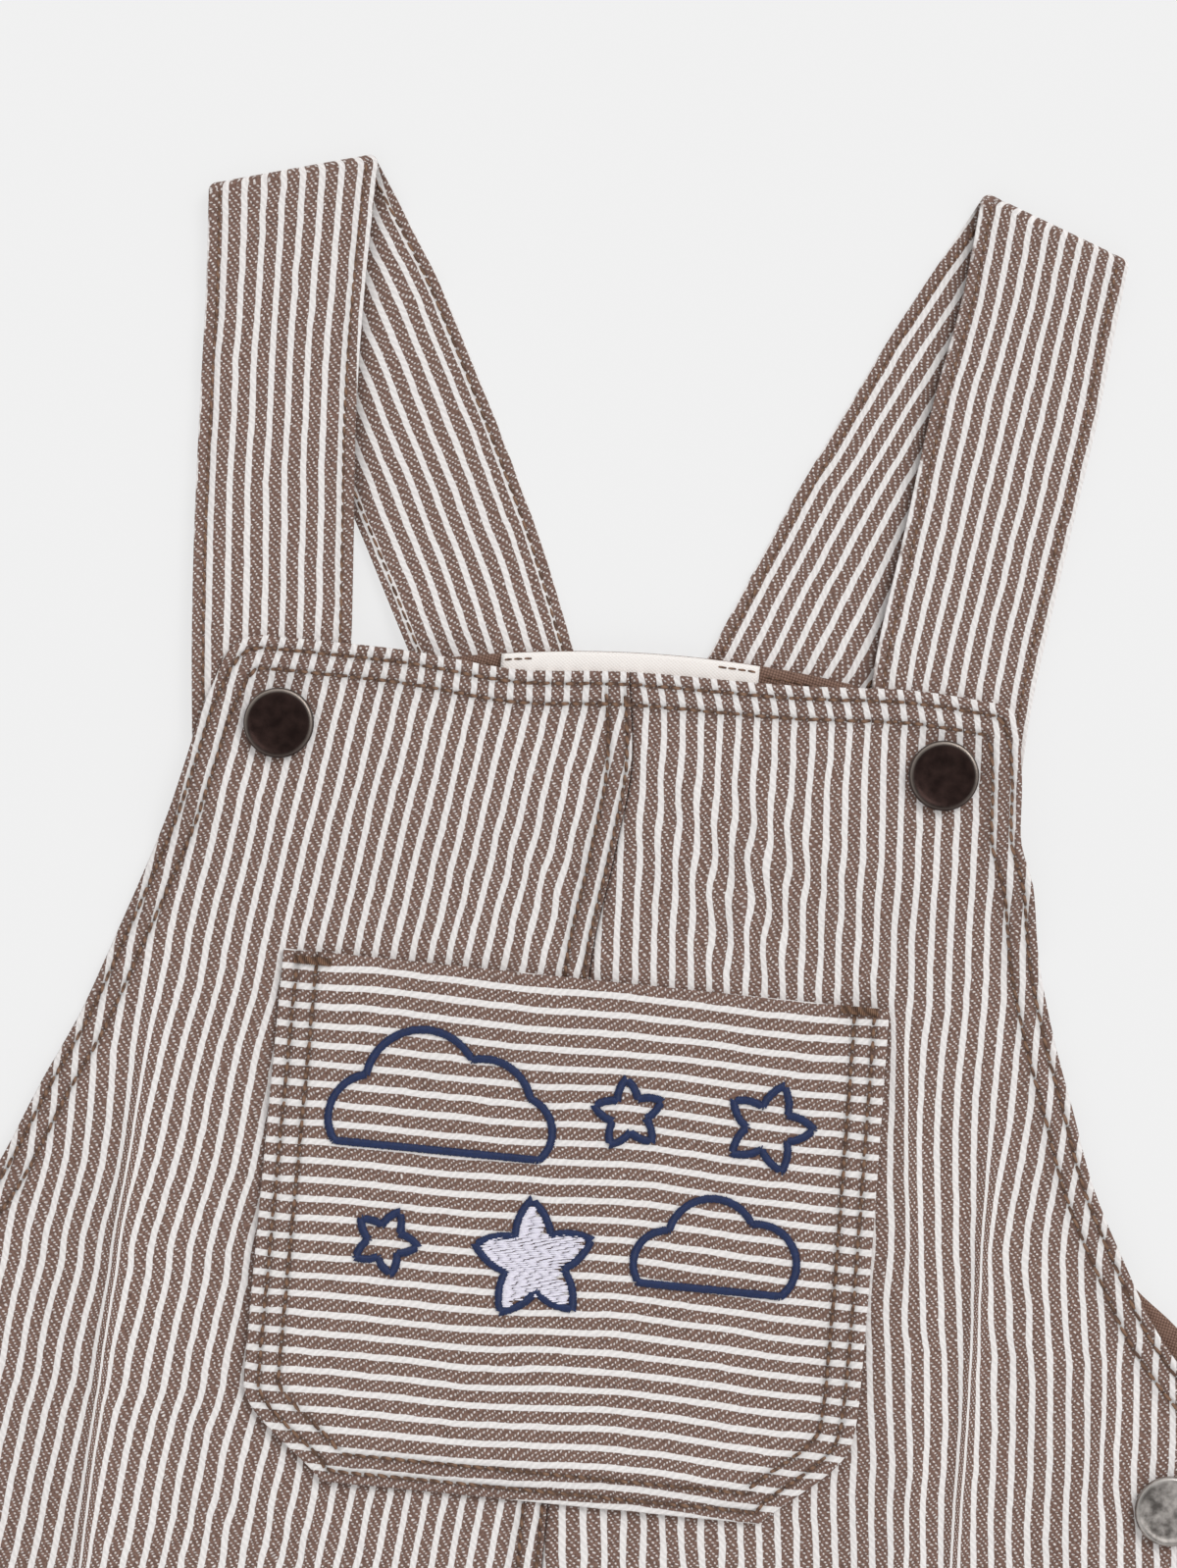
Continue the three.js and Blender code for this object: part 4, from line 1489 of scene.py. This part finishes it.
# The face and the rolled rim: radius, depth below the rim's top
CAP_FACE = [
    (0.0, 0.42), (2.0, 0.41), (4.0, 0.37), (5.5, 0.27), (6.1, 0.15), (6.45, 0.03), (6.75, 0.0),
    (7.05, 0.06), (7.3, 0.3), (7.45, 0.7), (CAP_RADIUS, 1.1),
]

# The curled edge and the underside: radius, height
CAP_UNDERSIDE = [(7.4, 0.6), (7.0, 0.15), (6.4, 0.0), (0.0, 0.0)]
CAP_PROFILE = [(radius, CAP_HEIGHT - depth) for radius, depth in CAP_FACE] + CAP_UNDERSIDE

# The mottled plating's darker and lighter colours, and the rim's colour, partly worn plating and
# partly a painted highlight
BRONZE = ("#2d2220", "#3a2c29", "#a1978f")
PEWTER = ("#6e6965", "#c2bcb7", "#c6c1bc")
PLATING_ROUGHNESS = 0.4


def plated_metal(name, dark, light, worn):
    """Plated brass: a mottled dark finish, lighter on the rim, partly worn and partly a painted
    highlight.
    """
    material, tree = new_material(name)
    place = add(tree, "TexCoord").outputs["Object"]
    patches = noisy(tree, place, 420.0, 6.0)
    mottled = add(tree, "MapRange", [patches, 0.35, 0.68, 0.0, 1.0])
    # The rim's worn plating, with a painted highlight in it
    rim = add(tree, "Attribute", attribute_name="rim").outputs["Fac"]
    colour = mix(tree, mottled, linear(dark), linear(light))
    colour = mix(tree, rim, colour, linear(worn))
    grain = noisy(tree, place, 1800.0, 2.0)
    gloss_range = (PLATING_ROUGHNESS - 0.08, PLATING_ROUGHNESS + 0.12)
    gloss = add(tree, "MapRange", [patches, 0.3, 0.7, *gloss_range])
    bump = bumped(tree, grain, 0.15, 0.00008)
    return surfaced(
        material, {"Base Color": colour, "Metallic": 1.0, "Roughness": gloss, "Normal": bump}
    )


dark_bronze = plated_metal("antique_bronze_plating", *BRONZE)
worn_pewter = plated_metal("worn_pewter_plating", *PEWTER)


def snap_cap(name, node, metal):
    low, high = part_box(node)
    middle = Vector(((low[0] + high[0]) / 2, (low[1] + high[1]) / 2, low[2]))
    shape = bmesh.new()
    rim = shape.verts.layers.float.new("rim")
    profile = [shape.verts.new((r * MM, 0, h * MM)) for r, h in CAP_PROFILE]
    edges = [shape.edges.new(pair) for pair in zip(profile, profile[1:])]
    bmesh.ops.spin(
        shape, geom=profile + edges, cent=(0, 0, 0), axis=(0, 0, 1), angle=2 * math.pi,
        steps=48, use_merge=True,
    )
    bmesh.ops.remove_doubles(shape, verts=shape.verts, dist=1e-6)
    bmesh.ops.recalc_face_normals(shape, faces=shape.faces)
    for vertex in shape.verts:
        x, y, z = vertex.co / MM
        reach = math.hypot(x, y)
        # The rim is lighter: partly worn plating, partly a painted highlight that is strongest on the
        # upper side
        wear_and_highlight = 0.65 + 0.5 * y / max(reach, 1)
        vertex[rim] = wear_and_highlight * bell(reach - RIM_RADIUS, RIM_WIDTH) if z > 1.2 else 0.0
    for face in shape.faces:
        face.smooth = True
    bmesh.ops.translate(shape, verts=shape.verts, vec=middle)
    mesh = bpy.data.meshes.new(name)
    shape.to_mesh(mesh)
    shape.free()
    cap = as_piece(name, mesh, metal)
    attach(cap, "root")
    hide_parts(node)


for word in ("left", "right"):
    snap_cap("cap_bib_" + word, "snap_bib_" + word, dark_bronze)
    snap_cap("cap_side_" + word, "snap_side_" + word, worn_pewter)


# Floor, light and camera
# A pale light table that glows evenly, so that almost no shadow falls on it, and soft studio
# light. The camera looks straight down, with the bib's top leaning a little to the right.
VIEW_MIDDLE = (-4.4, -23.9)
VIEW_HEIGHT = 335.6
VIEW_ROLL = 5.6
LENS = 100.0
SENSOR = 36.0
FLOOR_REACH = 20.0
FLOOR_BELOW = 0.1
FLOOR_GREY = "#787878"
FLOOR_GLOW = 0.69
SKY_LOW = 0.85
SKY_HIGH = 0.4

floor_shape = bmesh.new()
bmesh.ops.create_grid(floor_shape, x_segments=1, y_segments=1, size=FLOOR_REACH)
bmesh.ops.translate(floor_shape, verts=floor_shape.verts, vec=(0, 0, -FLOOR_BELOW * MM))
floor_mesh = bpy.data.meshes.new("floor")
floor_shape.to_mesh(floor_mesh)
floor_shape.free()
opal_glass = surfaced(
    new_material("lit_opal_glass")[0],
    {
        "Base Color": linear(FLOOR_GREY), "Roughness": 0.95, "Specular IOR Level": 0.1,
        "Emission Color": (1, 1, 1, 1), "Emission Strength": FLOOR_GLOW,
    },
)
floor = as_piece("floor", floor_mesh, opal_glass)

scene = bpy.context.scene
world = bpy.data.worlds.new("studio")
scene.world = world
world.use_nodes = True
world.node_tree.nodes.clear()
toward = add(world.node_tree, "TexCoord").outputs["Generated"]
toward_up = add(world.node_tree, "SeparateXYZ", [toward]).outputs[2]
glow = add(world.node_tree, "MapRange", [toward_up, 0.3, 1.0, SKY_LOW, SKY_HIGH])
sky = add(world.node_tree, "Background", {"Color": (1, 1, 1, 1), "Strength": glow})
add(world.node_tree, "OutputWorld", [sky])

# name, strength, spread in degrees, tilt from straight down and heading
LAMPS = [("key", 1.25, 30, 42, 40), ("fill", 0.3, 60, 40, 200)]
for name, strength, spread, tilt, heading in LAMPS:
    lamp = bpy.data.lights.new(name, "SUN")
    lamp.energy = strength
    lamp.angle = math.radians(spread)
    holder = bpy.data.objects.new(name, lamp)
    holder.rotation_euler = (math.radians(tilt), 0, math.radians(180 - heading))
    scene.collection.objects.link(holder)

camera_data = bpy.data.cameras.new("camera")
camera_data.lens = LENS
camera_data.sensor_width = SENSOR
camera_data.clip_start = 0.01
camera = bpy.data.objects.new("camera", camera_data)
camera.location = at(VIEW_MIDDLE[0], VIEW_MIDDLE[1], VIEW_HEIGHT * LENS / SENSOR)
camera.rotation_euler = (0, 0, math.radians(VIEW_ROLL))
scene.collection.objects.link(camera)
scene.camera = camera
scene.view_settings.view_transform = "Standard"
